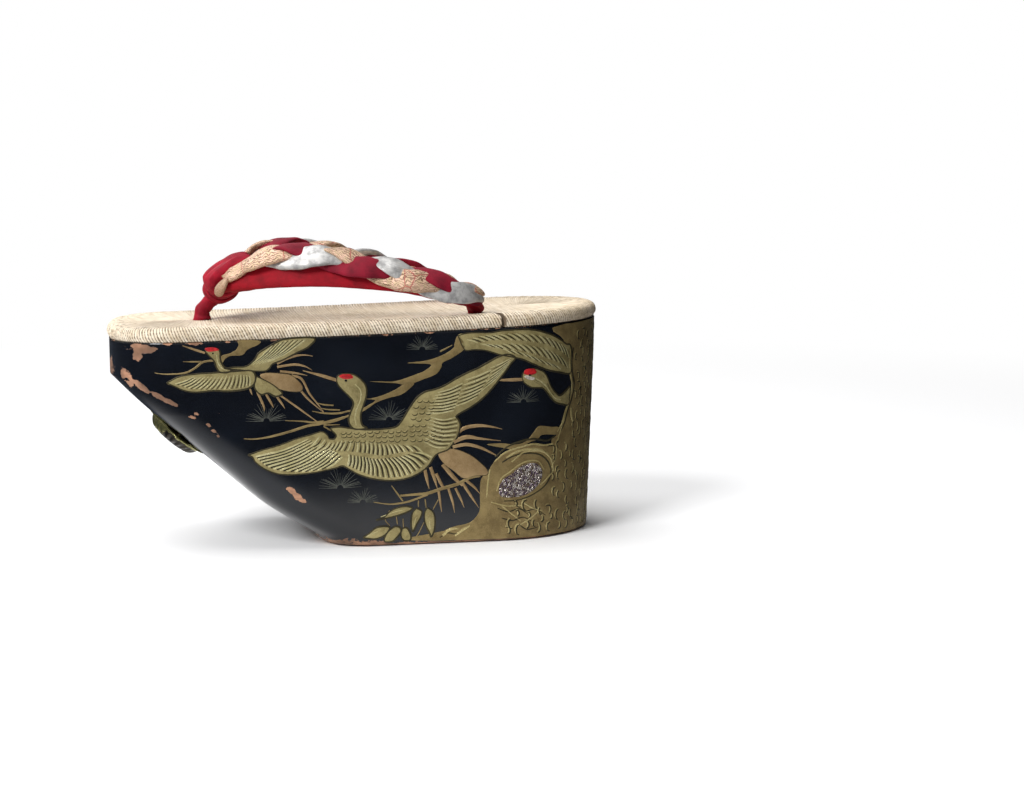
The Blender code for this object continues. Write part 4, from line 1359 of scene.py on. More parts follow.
@dataclass
class Cap:
    """The pressed brass cap over the toe knot, with a rolled flange, a dome and two ears."""

    block: Block
    width: float = 31.0
    length: float = 27.0
    height: float = 5.0
    flange: float = 2.4
    ear: float = 7.0
    sheet: float = 0.8
    gap: float = 0.3
    sides: int = 240
    flutes: int = 22
    dome: Marks = ((0.0, 1.0), (0.30, 1.0), (0.58, 0.95), (0.78, 0.78), (0.92, 0.42), (1.0, 0.06))
    rim: Marks = ((0.3, 0.10), (0.8, 0.42), (1.4, 0.30), (2.0, 0.22), (2.4, 0.10), (2.4, 0.0))

    def edge(self, angle: Array, reach: Array) -> tuple[Array, Array]:
        """The cap's outline in its own plane, grown by a reach."""
        across, along = np.cos(angle), np.sin(angle)
        ear = np.maximum(0.0, np.abs(across) - 0.82) / 0.18
        width = (self.width / 2 + reach
                 + np.where(reach > 0.5, self.ear * ear ** 1.5, 0.0) * (reach / self.flange))
        notch = 0.9 * np.maximum(0.0, 1 - np.abs(across) / 0.25) * (along > 0) * (reach > 0.5)
        return width * across, (self.length / 2 + reach - notch) * along

    def build(self) -> bpy.types.Object:
        """Presses the cap, punches the ears and marks the aged dome."""
        run = smooth_run(np.array(self.dome), 6)
        rim = np.array(self.rim)
        dome_rows, rows = len(run), len(run) + len(rim) - 1
        leave, up, out = self.block.slope_frame()
        turn = Matrix((up, out.cross(up), out)).transposed()
        turn_rows = np.array(turn)
        base = np.array(leave + out * (self.gap + self.sheet))

        def place(around: Array, along: Array) -> Array:
            """Points of the cap, from the dome's top to the back of its flange."""
            level = np.round(along * rows).astype(int)
            angle = around * TURN
            on_dome = level < dome_rows
            size = np.where(on_dome, run[np.minimum(level, dome_rows - 1), 0], 1.0)
            lift = run[np.minimum(level, dome_rows - 1), 1] * self.height
            brim = rim[np.clip(level - dome_rows, 0, len(rim) - 1)]
            across, up_slope = self.edge(angle, np.where(on_dome, 0.0, brim[:, 0]))
            flute = 0.32 * np.cos(angle * self.flutes) * ease((size - 0.55) / 0.2)
            flute = flute * ease((1.0 - size) / 0.12)
            fan = 0.28 * np.exp(-((size - 0.52) / 0.045) ** 2) * (np.sin(angle) < 0.9)
            height = np.where(on_dome, lift + flute + fan, brim[:, 1])
            local = np.column_stack([up_slope * size, across * size, height])
            return base + local @ turn_rows.T

        cap = shaped_grid("pressed_cap", self.sides, rows, place)
        up_slope, across, _ = ((read_points(cap) / MM - base) @ turn_rows).T
        inside = np.hypot(up_slope / (self.length / 2), across / (self.width / 2))
        high = ease((up_slope - 2.0) / 5.0) * ease((inside - 0.55) / 0.15)
        mark(cap, "aged", ease((0.99 - inside) / 0.06) * (1.0 - 0.62 * high))
        only(cap)
        shell = cap.modifiers.new("sheet", "SOLIDIFY")
        shell.thickness = self.sheet * MM * 0.9
        shell.offset = -1.0
        bpy.ops.object.modifier_apply(modifier=shell.name)
        for side in Side:
            spot = leave + Vector((0.0, side.value * self.nail_reach(), 0.0))
            cut(cap, drill(spot - out * 4.0, spot + out * 4.0, 1.1, 24))
        only(cap)
        bpy.ops.object.shade_smooth_by_angle(angle=math.radians(45.0))
        return settle(cap, Brass("aged_brass", aged=True).make(), ("brass_cap",))

    def nail_reach(self) -> float:
        """How far a nail is from the cap's middle."""
        return self.width / 2 + self.flange + self.ear * 0.42

    def nails(self) -> None:
        """A domed nail in each ear."""
        leave, _, out = self.block.slope_frame()
        seat = 2 * self.gap + self.sheet
        profile = np.array([(0.0, seat + 1.0), (0.7, seat + 0.95), (1.3, seat + 0.72),
                            (1.75, seat + 0.3), (1.85, seat), (0.8, seat), (0.8, -4.5),
                            (0.0, -7.0)])
        last = len(profile) - 1
        axes = np.array(out.to_track_quat("Z", "Y").to_matrix())
        brass = Brass().make()
        for side, node in ((Side.NEAR, "cap_nail_left"), (Side.FAR, "cap_nail_right")):
            spot = np.array(leave + Vector((0.0, side.value * self.nail_reach(), 0.0)))

            def place(around: Array, along: Array) -> Array:
                """Points of one nail, from its head's top to its tip."""
                radius, height = profile[np.round(along * last).astype(int)].T
                angle = around * TURN
                local = np.column_stack([radius * np.cos(angle), radius * np.sin(angle), height])
                return spot + local @ axes.T

            nail = shaped_grid(node.replace("cap_", "brass_"), 24, last, place)
            settle(nail, brass, (node,))


# The gold on the sides.


class Layer(Enum):
    """A layer of the decoration: its piece's name, and how high its strokes lie over the wood."""

    CRANE = ("gold_cranes", 0.06)
    # Bright strokes on raised ridges and edges, brighter in part as a painted highlight.
    RIDGE = ("gold_feather_ridges", 0.20)
    # Dark strokes of painted shade: in the grooves between feathers, beside raised arcs and ridges,
    # and along outlines and necks.
    GROOVE = ("gold_painted_shade", 0.185)
    TAIL = ("gold_tails", 0.06)
    TREE = ("gold_tree", 0.06)
    # Bright raised arcs of bark and feathers, brighter in part as a painted highlight.
    BARK = ("gold_bark", 0.20)
    LINE = ("incised_lines", 0.015)
    RED = ("red_crowns", 0.26)
    WHITE = ("white_cheeks", 0.24)
    DARK = ("dark_eyes", 0.26)
    SHELL = ("shell_inlay", 0.24)

    @property
    def piece(self) -> str:
        """The piece's name."""
        return self.value[0]

    @property
    def lift(self) -> float:
        """How high its strokes lie."""
        return self.value[1]


@dataclass(frozen=True)
class Plate:
    """A flat raised shape inside a drawn outline."""

    layer: Layer
    outline: Marks
    thick: float = 0.15


@dataclass(frozen=True)
class Stroke:
    """A raised line with a width at its start and end."""

    layer: Layer
    line: Marks
    start: float
    end: float


def drawn(tables: dict[str, str]) -> list[tuple[Layer, list[float], Marks]]:
    """Reads drawn tables.

    Args:
        tables: for each thing drawn, rows of a layer's name, any widths, and points as s,h.

    Returns:
        The layer, the widths and the points of each row.
    """
    rows = []
    for word in " ".join(tables.values()).split():
        if word.isalpha():
            layer, widths, line = Layer[word], [], []
            rows.append((layer, widths, line))
        elif "," in word:
            line += marks(word)
        else:
            widths.append(float(word))
    return [(layer, widths, tuple(line)) for layer, widths, line in rows]


# What is drawn on the near side. A row gives its layer, a stroke's widths, and its points as s,h.
PLATES = {
    "small crane": """
    RED -71,90.4 -70,91.1 -66.5,91 -65,90 -66.5,89.6 -69.5,89.4
    CRANE -71,89.6 -69,87.4 -67,85 -66.2,82.5 -64.5,80.2 -61,80.2 -60,81.3 -62.6,82.2 -64.2,84.6
      -64.6,87 -64.6,89 -65.6,90.2 -69,90.2
    CRANE -87.5,76 -82,78.7 -75,79.7 -67.5,80 -63,80.2 -56,80.6 -51,80.5 -49.5,78 -50,75 -52.5,73
      -57,72.1 -62,71.9 -68,72.3 -75,71.8 -80,72.6 -84,74.4
    CRANE -63,81.8 -58,82.3 -53.4,82.5 -50,85 -48,88 -45,90 -40,92.8 -35.6,94.2 -23.8,94.3
      -26.2,90.6 -31.2,88.1 -37.5,85 -41.9,83.4 -43.8,81.2 -47.5,80.3
    TAIL -47.5,78.1 -45,79.4 -38.8,79 -33.8,78 -29.4,73.8 -29.7,71 -34.4,71 -40,72.5 -43.8,75.3
    CRANE -49,78 -50,74 -49,71.5 -47,70 -44,70.5 -41,69 -38,70 -40,72.5 -43.8,75.3
    """,
    "big crane": """
    RED -13,77 -11.5,77.9 -8,77.8 -6.8,76.5 -8,75.9 -11,75.9
    CRANE -14.2,75.5 -13.5,77.3 -11,78 -7,77.8 -4,76 -1.8,73.5 -1,71 -1.2,67.5 -2.5,63.5 -3.6,60
      -3.6,57 -2.8,54.8 -1,53.5 -6,53.3 -8.3,55.2 -8.9,58 -8,61 -6.8,64 -7,66 -9,68.5 -11.5,71
      -13.3,73.2
    CRANE -53.3,43.3 -47.5,45.1 -40,47 -32.5,49.7 -26,51.3 -21,52.6 -18.4,51 -17.6,49.4 -15.4,49.2
      -14.6,51 -16.9,54 -12.5,54.4 -8,53.6 0,52.8 8.8,53.1 12.5,54 15,56.9 18.1,61.9 21.2,66.2
      25,69 29.4,70 33.8,71.6 38.8,74.4 43.8,76.9 48.8,79 53.8,81.6 58.1,83.8 62.5,85 66,83.4
      63.8,80.6 61.2,76.9 58.1,73.1 55,69.4 51.2,65.6 46.2,61.9 39.4,58.1 40,56.2 40.9,53.8 40.3,50
      38.8,46.9 36.9,44.4 35,42.5 30,40.6 26.9,36.2 23.8,33.4 18.8,30.9 12.5,29.7 6.2,29.9 0,31.2
      -5,33.1 -8.8,35.3 -11.9,36.9 -16.2,35.9 -25,34.4 -35,33.9 -41.2,34.7 -46.2,36.9 -50,40
      -51.2,42.2
    TAIL 31,41 36,43 41,42 46.2,39.4 50,36.3 53.1,33.1 53.1,30.6 47.5,30.3 42.5,29.4 38,33 34,36
    """,
    "branches and leaves": """
    TREE -56.3,94 -47.5,93.6 -48,92 -52.5,90 -55,87.6 -60,87.3 -62.5,86 -63.5,84.5 -64,87.3
      -60,88.5 -57.5,90 -56.5,92
    TREE -3,61 0,62.7 3.5,65 9,66.9 14.5,68.2 18.5,71 20.3,73.2 17,73.5 12,70.5 6,68 1,66.8
      -1.5,66.7 3,66 0,63.9 -3,62.2
    TREE 1,74.4 7,74.2 12.5,74.3 20,76.6 25,78.5 28,81.2 22,81.9 17.5,82.2 20,82.5 26,83.1 31,84.5
      35,86.3 38.1,88.5 38.4,90 40,93.8 43,90 42.5,87.5 40,85.6 36.9,83.8 33,81.9 32.5,80 30,76.9
      25,75 20.6,73.4 16,72.5 12.5,73.3 7,73.8
    CRANE 6.5,12.8 10,16 15,17.5 18.8,17 18.5,15.8 15,14.3 10,13 3,11.8
    CRANE 21,16.4 19.2,14 18.7,9.5 19.3,6 21,9 23,12.5 23.4,15
    CRANE 26,16.5 24.8,14 25,9.5 27,5 27.7,3.2 29,6 29.4,11 28.5,14.5
    CRANE -3,4 0,6 3,8.3 7,8.8 9,8 7.5,5.5 5,4 2,3.3
    CRANE 6.5,3 8,6 11,8.3 13.5,8 14,6 12,3.5 10,1.8 7,1.8
    CRANE 14,5.5 15,7.5 17,7.3 18.5,4 18,2 15.5,2 14.3,3.5
    """,
    "third crane": """
    CRANE 40,93.8 43.8,94.8 50,95 55,94.8 60,95.6 67.5,95.9 74,95.6 80.5,94 85,92.4 90,89.9 93,88
      96,87 97,80 96,74.5 90,75.3 85,76.3 80.5,77.6 75,80 70,82.3 65.5,83.5 58.8,85 53,86.9
      47.5,87.5 43,87.6
    RED 70,76 71,77.8 75,77.9 76.2,76.3 74,75.3 71,75.6
    CRANE 69.2,74 70,76.5 75,78 78.5,77 80,76.2 81.9,73.8 83.8,70 86.2,66.9 89.4,64.7 93.8,66.9
      96.2,67.8 95,60.3 91.2,60.6 86.9,61.9 83.8,64.4 81.2,67.5 78.8,69.1 73.8,69.7 70.3,71.9
    WHITE 70.2,74.6 72,73.4 74.6,72.9 75.4,73.8 73.6,74.5 71.5,75.1
    """,
    "side branch, and the knot in the trunk": """
    TREE 53.1,44.4 60,44.7 66.2,43.9 71.2,45 75,48.8 78.1,51.6 85,50.6 90,50 90,46.9 85,47.2
      79.4,47.5 76.9,45.6 72.5,44.4 67.5,41.5 60,42.8
    SHELL 58.6,24 60.5,28 64.5,30.5 68,33.2 72.5,34.8 76.8,34.4 79.6,31 79,26.5 75.5,22.7 70.5,20.4
      64,19.8 59.5,20.6
    """,
}
STROKES = {
    "small crane's beak and tail": """
    TAIL 0.5 1.3 -80.5,92.2 -71,88.8
    TAIL 1.5 0.3 -33.8,78 -29.4,76.3 -26.2,70 -22.5,65 -19.4,60.6
    TAIL 1.4 0.3 -29.7,71 -26.2,66.9 -20,61.2
    TAIL 1.5 0.3 -40,83.4 -34.4,86 -28.8,86.9 -24.4,86.3
    TAIL 1.5 0.3 -40,81.9 -32.5,82.8 -28,81.9 -24.7,80.1
    TAIL 1.4 0.3 -38.8,80 -31.9,79 -26.9,77.8
    TAIL 1.2 0.2 -51.9,72.5 -51,69.7
    TAIL 1.6 0.3 -48.8,71.2 -46.2,65 -45.9,62.5
    TAIL 1.5 0.3 -45.6,71.2 -42.8,66 -41.9,64
    TAIL 1.5 0.3 -41.2,70 -38.4,66 -36.9,63.4
    TAIL 1.1 0.5 -39,69.5 -30,62.7 -22,56.5
    """,
    "branches behind it": """
    TREE 1.3 0.4 -67,85.5 -72,84.8 -75.5,82.2 -80,80.2 -88,79.8 -92.5,80.3
    TREE 0.9 0.3 -72.5,85 -80.5,85.2
    TREE 0.5 1.5 -55,50.6 -50,50.3 -43,51.2 -35,53.1 -27.5,55.3 -22.5,56
    TREE 0.4 1.2 -36.9,58.1 -28.8,57.5 -25,56.9 -20,57.2
    TREE 1.6 1.2 -22.5,56 -15,57.5 -8.8,59.4
    TREE 0.5 1.1 -25,61.9 -20,60.9 -13.8,60.6 -8.1,61.6
    TREE 0.9 0.3 -20,55.6 -12.8,55.5
    TREE 0.9 0.3 -20,55 -15,51.9
    TREE 0.4 0.8 -23.1,65.6 -20,64.7 -15.6,64.2
    TREE 0.4 0.8 -21.2,63.1 -17.5,62.4 -12.8,62.1
    TREE 0.9 0.4 31.9,86.9 37.5,89.7
    """,
    "big crane's beak and tail": """
    TAIL 0.5 2.0 -28.8,80 -21,77.7 -13.8,75.3
    TAIL 2.4 0.3 40.3,50.6 43.8,52.5 50,53.1 56.2,52.2 60,51.2
    TAIL 2.8 0.3 38,46.2 43.8,48.1 50,47.2 59.4,45.9
    TAIL 2.2 0.3 37.5,43.8 43.8,44.7 50,43.1 56.2,40 58,38.8
    TAIL 2.2 0.4 25,33.8 25.9,29.4 26.9,25
    TAIL 2.2 0.4 27.5,35 29.4,29.4 30.6,25
    TAIL 2.0 0.4 30,32 33,26 35,25
    TAIL 1.6 0.3 31.2,23.8 32.5,14.4
    TAIL 1.6 0.3 35.6,25 37.5,18.8 38.4,13.8
    TAIL 1.6 0.3 38.8,25 41.2,20 42.8,15.9
    TAIL 1.8 0.3 41.9,27.5 46.2,20.6 49.4,15.6
    TAIL 1.8 0.3 43.1,28.8 47.5,25 50,21.9
    TAIL 2.4 1.2 33,36 38,30 42,26
    """,
    "twigs and stems below it": """
    TREE 1.3 1.7 13.8,22.5 20.6,22.8 26.2,23.1 32.5,25 40,26.9 45,29.4 50,30.3
    TREE 0.5 1.2 1.9,20 9.4,18.8 16.2,19.4 20.6,20.6 26.2,22.5
    TREE 0.5 0.9 10,27.2 15,20
    TREE 0.5 0.5 9,16 7,12 9,9
    TREE 0.5 0.5 12,13 12.5,9.5
    TREE 0.5 0.5 15,12 15.2,8
    TREE 0.6 0.5 22,20 22,17
    TREE 0.6 0.5 25,20.5 25.5,16.5
    TREE 0.6 0.5 31,20 28.5,15.5
    TREE 0.5 0.5 24.5,10 22,5 20.5,3
    """,
    "third crane's beak": """
    TAIL 0.7 2.0 56.5,73.4 63,73.4 69.4,73.4
    """,
    "ribs of the leaves": """
    RIDGE 0.5 0.4 5,13.2 12,15.4 18,16.4
    RIDGE 0.5 0.3 19.6,7 20.8,12 22.6,15.6
    RIDGE 0.5 0.3 27.4,4.4 27,10 27,15.6
    RIDGE 0.5 0.3 -1.5,4.6 3,6.4 8,8
    """,
    # On the trunk, each dark stroke beside a bright bark stroke is a painted shadow, and the short
    # wide bright stroke near 98,55 is a painted highlight.
    "trunk": """
    GROOVE 1.1 1.0 57,38.6 62,42.8 68,45 75,46 82,44.6 86.4,46.2
    BARK 0.9 0.9 56.6,36.4 61.4,40.4 67.6,42.4 75,43.6 81,42.6 85.6,43
    GROOVE 1.0 0.8 60,36 65,38.6 71,39.6 78,38.6 83,34.6 84.6,29 81.4,24 75,20.4 68,18.4 61,18.2
    BARK 1.2 0.9 62,38 67,40.6 73,41.4 79.6,40.2 84.6,36 86.6,30
    BARK 1.0 0.8 96.4,86 95.4,80 96.2,74 97.6,69 96,63 93,57 91,52 88,48
    GROOVE 1.4 1.0 98,86 97,80 97.8,74 99.2,69 97.6,63 94.6,57 92.8,52 90,48
    BARK 2.0 1.2 97.2,58.4 97.8,54.6 98.8,51.6
    GROOVE 0.8 0.6 66,16.5 71,13 76,13.4 82,10
    GROOVE 0.8 0.5 58,15 63,13.2 68,14.2 73,11
    GROOVE 0.8 0.5 60,10.4 65,9 70,10.2 75,7.6
    GROOVE 0.8 0.5 68,7 72,4.4 78,5
    BARK 1.5 1.0 33,3.4 36.4,6.2 40,6.4
    BARK 1.4 1.0 38.6,3.2 42,5.6 45.4,7.4
    GROOVE 0.7 0.6 31.6,2.6 35,4.6 38.6,4 41,5.2
    BARK 0.9 0.9 64.5,36 70,40 77,40.5 83,38.5
    BARK 0.9 0.8 84.5,36 86,31 83,27.5 79,24.5
    BARK 1.0 0.7 54.5,33 53.5,26 53,20
    BARK 0.8 0.6 57.6,23 59.6,28.5 64,31.6 68,34.4 72.5,36 77.6,35.4 80.8,31.4
    BARK 0.8 0.5 55,18 62,16 70,15.8
    BARK 0.8 0.5 60,16 69,8.5
    BARK 0.8 0.5 70,17 76,13.5 80,12.5
    BARK 0.8 0.5 66,5.5 73,9 79,13
    BARK 0.9 0.6 98,67 95.5,61 92.5,54 89.5,47 88,42 87.5,36 84,31
    """,
    # Dark lines of painted shade along the necks' lower edges, and small dark marks on the big
    # crane's cheek.
    "lines on the necks and heads": """
    GROOVE 0.5 0.3 -4.6,73.6 -2.8,70 -3,66 -4.6,62 -5.4,58 -5,55.4
    GROOVE 0.5 0.3 77,76.2 79.4,74.8 81.4,71.8 83.6,68 86,65 89.4,62.8 93,62.6
    GROOVE 0.4 0.3 -66.4,87.6 -65.8,84.4 -64,82
    GROOVE 0.3 0.2 -9.4,72.6 -7.8,71.6 -6.6,72.4
    GROOVE 0.3 0.2 -9.0,70.9 -7.2,70.2
    """,
}

# Fans of feathers: how many, their bow, their widths, and the lines that they start and end on.
FEATHERS = (
    # The big crane's lower wing: long feathers, then two tiers.
    (13, 0.05, 0.55, 0.75,
     "-27,49.5 -25,48.5 -22,47.5 -20,46.5 -18,45 -16,44 -14,43 -12,41",
     "-50,42.5 -48,40.5 -46,38.5 -42,36.5 -37,35.5 -31,35 -26,35 -19,36.2"),
    (21, 0.06, 0.50, 0.65,
     "-22,50.6 -18,47.9 -15,47.6 -12,48.4 -9,48.4 -4,47.5 -1,47.5 2,47 5,46.5 8,46 10.5,46 "
     "14,45.8 20,45",
     "-25.5,46.6 -21,44.6 -17,44.4 -14.5,44 -11,43.7 -4,42.8 -1,42.4 2,41.6 5.5,41 9.5,41.4 "
     "13,42 17,42.6 24,42"),
    (19, 0.07, 0.55, 0.80,
     "-9,42 -6,41.4 -3.5,41 -1,40.4 1.4,39.8 4.4,39.6 7.6,39.8 10.5,40 13.5,40.2 16.5,41 21,42",
     "-9.5,37 -6.8,35.8 -4,34.4 -.5,32.8 3,31.8 7.5,31 12.2,31 16.4,31.6 20.5,33.2 24,35.6 "
     "28,39.6"),
    # Its flank and upper wing.
    (8, -0.10, 0.42, 0.55,
     "25,46.6 25.6,49.6 26,52.6 26.6,55.4 27.6,57.6",
     "34.4,43.6 37.6,46.8 39.4,50.4 39.8,54 39,57.2"),
    (8, -0.05, 0.45, 0.60,
     "25.5,59.6 27,62.6 28.6,65.6 30.6,68.6",
     "38,60.4 39.4,63.8 40.6,67.8 42,72.6"),
    (7, -0.03, 0.45, 0.60,
     "38,62 39.6,65.6 41.2,69.4 43.4,74",
     "48.6,66.2 51,70 53,73.6 55,78.2"),
    (6, -0.02, 0.45, 0.40,
     "50,68.4 51.6,71.6 53.2,75 54.6,79",
     "61.4,78.2 62.6,80.2 63.6,81.8 64,83.2"),
    # The small crane's wings.
    (17, 0.05, 0.40, 0.55,
     "-76,78.6 -71,78.4 -66,78.4 -61,78.6 -56,79 -52,78.6",
     "-84,75.6 -78,73.4 -71,72.8 -64,72.8 -57,73 -52,74"),
    (8, -0.04, 0.40, 0.55,
     "-52,83 -47,83.6 -43,84.4",
     "-42,91.4 -35,93.6 -27.6,93.6"),
    # The third crane's wing, seen edge on.
    (16, 0.04, 0.45, 0.60,
     "44,92 50,93.6 57,93.8 64,94.4 72,94 80,92.4 87,89.6 92,87",
     "49,90.4 55.4,91.6 62,91.4 69.4,91 77,89.8 84.4,87.6 90.6,84.6 95,81.6"),
    (13, 0.04, 0.45, 0.60,
     "50,90 57,89.6 64,90 71,89 78,87.6 84,85.4 90,82.4",
     "55,88.6 62,87.2 69,86.4 76,84.4 83,82 88.6,80 94.4,77"),
    (8, 0.04, 0.40, 0.50,
     "60,87.6 67,86.2 73,84 79,81.8 85,79.4",
     "64,85.6 70.6,84 77,81.2 83,78.8 89.6,76.8"),
)


def plates() -> list[Plate]:
    """Every plate of the near side."""
    made = [Plate(layer, outline, 0.30 if layer in (Layer.RED, Layer.WHITE, Layer.SHELL) else 0.17)
            for layer, _, outline in drawn(PLATES)]
    eyes = ((-10.0, 75.1, 0.55), (72.8, 75.3, 0.5), (-67.6, 88.6, 0.35))
    for s, h, radius in eyes:
        ring = tuple((s + radius * math.cos(a), h + radius * math.sin(a))
                     for a in np.linspace(0, TURN, 9)[:-1])
        made.append(Plate(Layer.DARK, ring, 0.32))
    return made


def trunk(tip: float) -> Plate:
    """The tree's trunk, from its near edge round the heel to its far edge."""
    near = marks("30.6,1.2 33.8,5.6 38.8,7.5 43.8,8.4 46.9,10 49.4,13.1 50,16.2 50,25 50.9,29.4 "
                 "53.8,31.9 55,34.4 57.5,37.5 61.2,40.6 67.5,41.9 75,43.1 81.2,42.2 85,41.9 85,45 "
                 "87.5,46.2 90,48.8 91.2,52.5 93.1,57.5 95,60.5 96.9,65 97.5,70 96,73 95,80 "
                 "91.5,90 91.2,97.2")
    far = [(2 * tip - s, h) for s, h in near[::-1]]
    return Plate(Layer.TREE, near + tuple(far), 0.13)


def fan(layer: Layer, starts: str, ends: str, count: int, bow: float, width: float,
        thin: float) -> list[Stroke]:
    """Strokes spread between two drawn lines.

    Args:
        layer: their layer.
        starts: the line that they start on.
        ends: the line that they end on.
        count: how many.
        bow: how far each bends to its left, as a share of its length.
        width: the width at the start.
        thin: the width at the end.

    Returns:
        The strokes.
    """
    def spread(text: str) -> Array:
        """The line at even steps, one for each feather."""
        line = np.array(marks(text))
        steps = np.linspace(0, len(line) - 1, count)
        return np.column_stack([np.interp(steps, range(len(line)), column) for column in line.T])

    made = []
    for a, b in zip(spread(starts), spread(ends)):
        middle = (a + b) / 2 + np.array([a[1] - b[1], b[0] - a[0]]) * bow
        made.append(Stroke(layer, (tuple(a), tuple(middle), tuple(b)), width, thin))
    return made


def strokes() -> list[Stroke]:
    """Every drawn stroke of the near side."""
    made = [Stroke(layer, line, *widths) for layer, widths, line in drawn(STROKES)]
    for count, bow, width, thin, starts, ends in FEATHERS:
        made += fan(Layer.RIDGE, starts, ends, count, bow, width * 1.5, thin * 1.5)
        # Between the ridges, dark strokes of painted shade.
        made += shifted(fan(Layer.GROOVE, starts, ends, count, bow, width * 1.3, thin * 1.5))
    for plate in plates():
        ring = plate.outline + plate.outline[:1]
        if plate.layer is Layer.CRANE:
            made += [Stroke(Layer.GROOVE, ring, 1.0, 1.0), Stroke(Layer.RIDGE, ring, 0.55, 0.55)]
        elif plate.layer is Layer.TAIL:
            made.append(Stroke(Layer.GROOVE, ring, 0.5, 0.5))
    # Along each neck, a bright stroke as a painted highlight, with rows of short dark marks of
    # painted shade beside it.
    necks = ("-6,73.4 -3.6,70.6 -3.6,66.6 -5.2,62.6 -6.2,58.6 -5.6,55",
             "-66,88 -65.6,84.6 -64,82.2 -61.6,80.8",
             "75.8,73.6 78.8,71.8 81.4,69.6 83.8,66.4 86.8,63.6 90,62.8")
    for neck in necks:
        made.append(Stroke(Layer.RIDGE, marks(neck), 0.75, 0.6))
        line = smooth_run(np.array(marks(neck)), 5)
        for a, b in zip(line, line[1:]):
            way = unit(b - a)
            for across in (0.75, 1.5):
                spot = a + np.array([way[1], -way[0]]) * across
                tick = (tuple(spot), tuple(spot + way * 0.45))
                made.append(Stroke(Layer.GROOVE, tick, 0.55, 0.45))
    return made + needles()


def needles() -> list[Stroke]:
    """The pine's fans of needles, cut as fine lines into the black."""
    fans = ((9.0, 57.0, 9.0), (-13.0, 27.0, 9.5), (-3.0, 20.0, 7.0), (-45.0, 58.0, 9.0),
            (24.0, 88.0, 7.0), (70.0, 63.0, 8.0))
    root, count = 1.4, 21
    made = []
    for s, h, reach in fans:
        for turn in np.radians(np.linspace(2.0, 178.0, count)):
            c, n = math.cos(turn), math.sin(turn)
            long = reach * n * (0.8 + 0.2 * math.cos(7 * turn + s))
            ends = ((s + root * c, h + root * n), (s + reach * c, h + long))
            made.append(Stroke(Layer.LINE, ends, 0.30, 0.14))
    return made


def shifted(lines: list[Stroke]) -> list[Stroke]:
    """The same strokes, each moved halfway towards the next."""
    made = []
    for one, following in zip(lines, lines[1:]):
        middle = (np.array(one.line) + np.array(following.line)) / 2
        made.append(Stroke(one.layer, tuple(map(tuple, middle)), one.start, one.end))
    return made


def scales(rng: random.Random) -> list[Stroke]:
    """The small feathers on the big crane's back and breast, each a short bright arc with a painted
    shadow arc beside it.
    """
    made = []
    spots = [(s, h) for h in (48.4, 50.6, 52.2) for s in np.arange(-12.0, 34.0, 3.1)]
    spots += [(18 + (h - 54) * 0.36 + k * 3.0, h)
              for h in np.arange(55.0, 68.0, 2.6) for k in range(3)]
    for s, h in spots:
        s, h = s + rng.uniform(-0.5, 0.5), h + rng.uniform(-0.4, 0.4)
        arc = tuple((s + 1.25 * math.cos(a), h + 0.95 * math.sin(a))
                    for a in np.radians([200, 250, 300, 350, 400]))
        # A painted shadow, moved down and aside from the arc.
        shade = tuple((a + 0.35, b - 0.4) for a, b in arc)
        made += [Stroke(Layer.GROOVE, shade, 0.8, 0.6), Stroke(Layer.BARK, arc, 0.55, 0.45)]
    return made


def bark(rng: random.Random, tip: float) -> list[Stroke]:
    """Curved scales of bark down the trunk and round the heel.

    Args:
        rng: the picture's random numbers.
        tip: s at the heel's tip.

    Returns:
        The scales, each a bright stroke with a dark stroke of painted shadow beside it.
    """
    rows, first_row, row_step, lowest = 20, 3.6, 4.7, 4.9
    first_mark, mark_step, left_out = 58.0, 5.0, 0.10
    made = []
    for row in range(rows):
        for s in np.arange(first_mark, 2 * tip - first_mark, mark_step):
            s = s + rng.uniform(-1.9, 1.9) + (row % 2) * mark_step / 2
            place = max(first_row + row * row_step + rng.uniform(-1.8, 1.8), lowest)
            mirror = min(s, 2 * tip - s)
            edge = 99.0 if place > 44 else 84.0 if place > 17 else 62.0
            if mirror < edge or rng.random() < left_out:
                continue
            turn = rng.uniform(-0.5, 0.5) + (math.pi if rng.random() < 0.5 else 0.0)
            size = rng.uniform(1.1, 2.1)
            arc = tuple((s + size * math.cos(a) * 0.8, place + size * math.sin(a) * 1.15)
                        for a in turn + np.radians([-75, -30, 15, 60, 100]))
            # A painted shadow, moved down and aside from the arc.
            shade = tuple((a + 0.45, b - 0.45) for a, b in arc)
            made += [Stroke(Layer.GROOVE, shade, 1.2, 0.8),
                     Stroke(Layer.BARK, arc, rng.uniform(0.7, 1.2), rng.uniform(0.4, 0.7))]
    return made


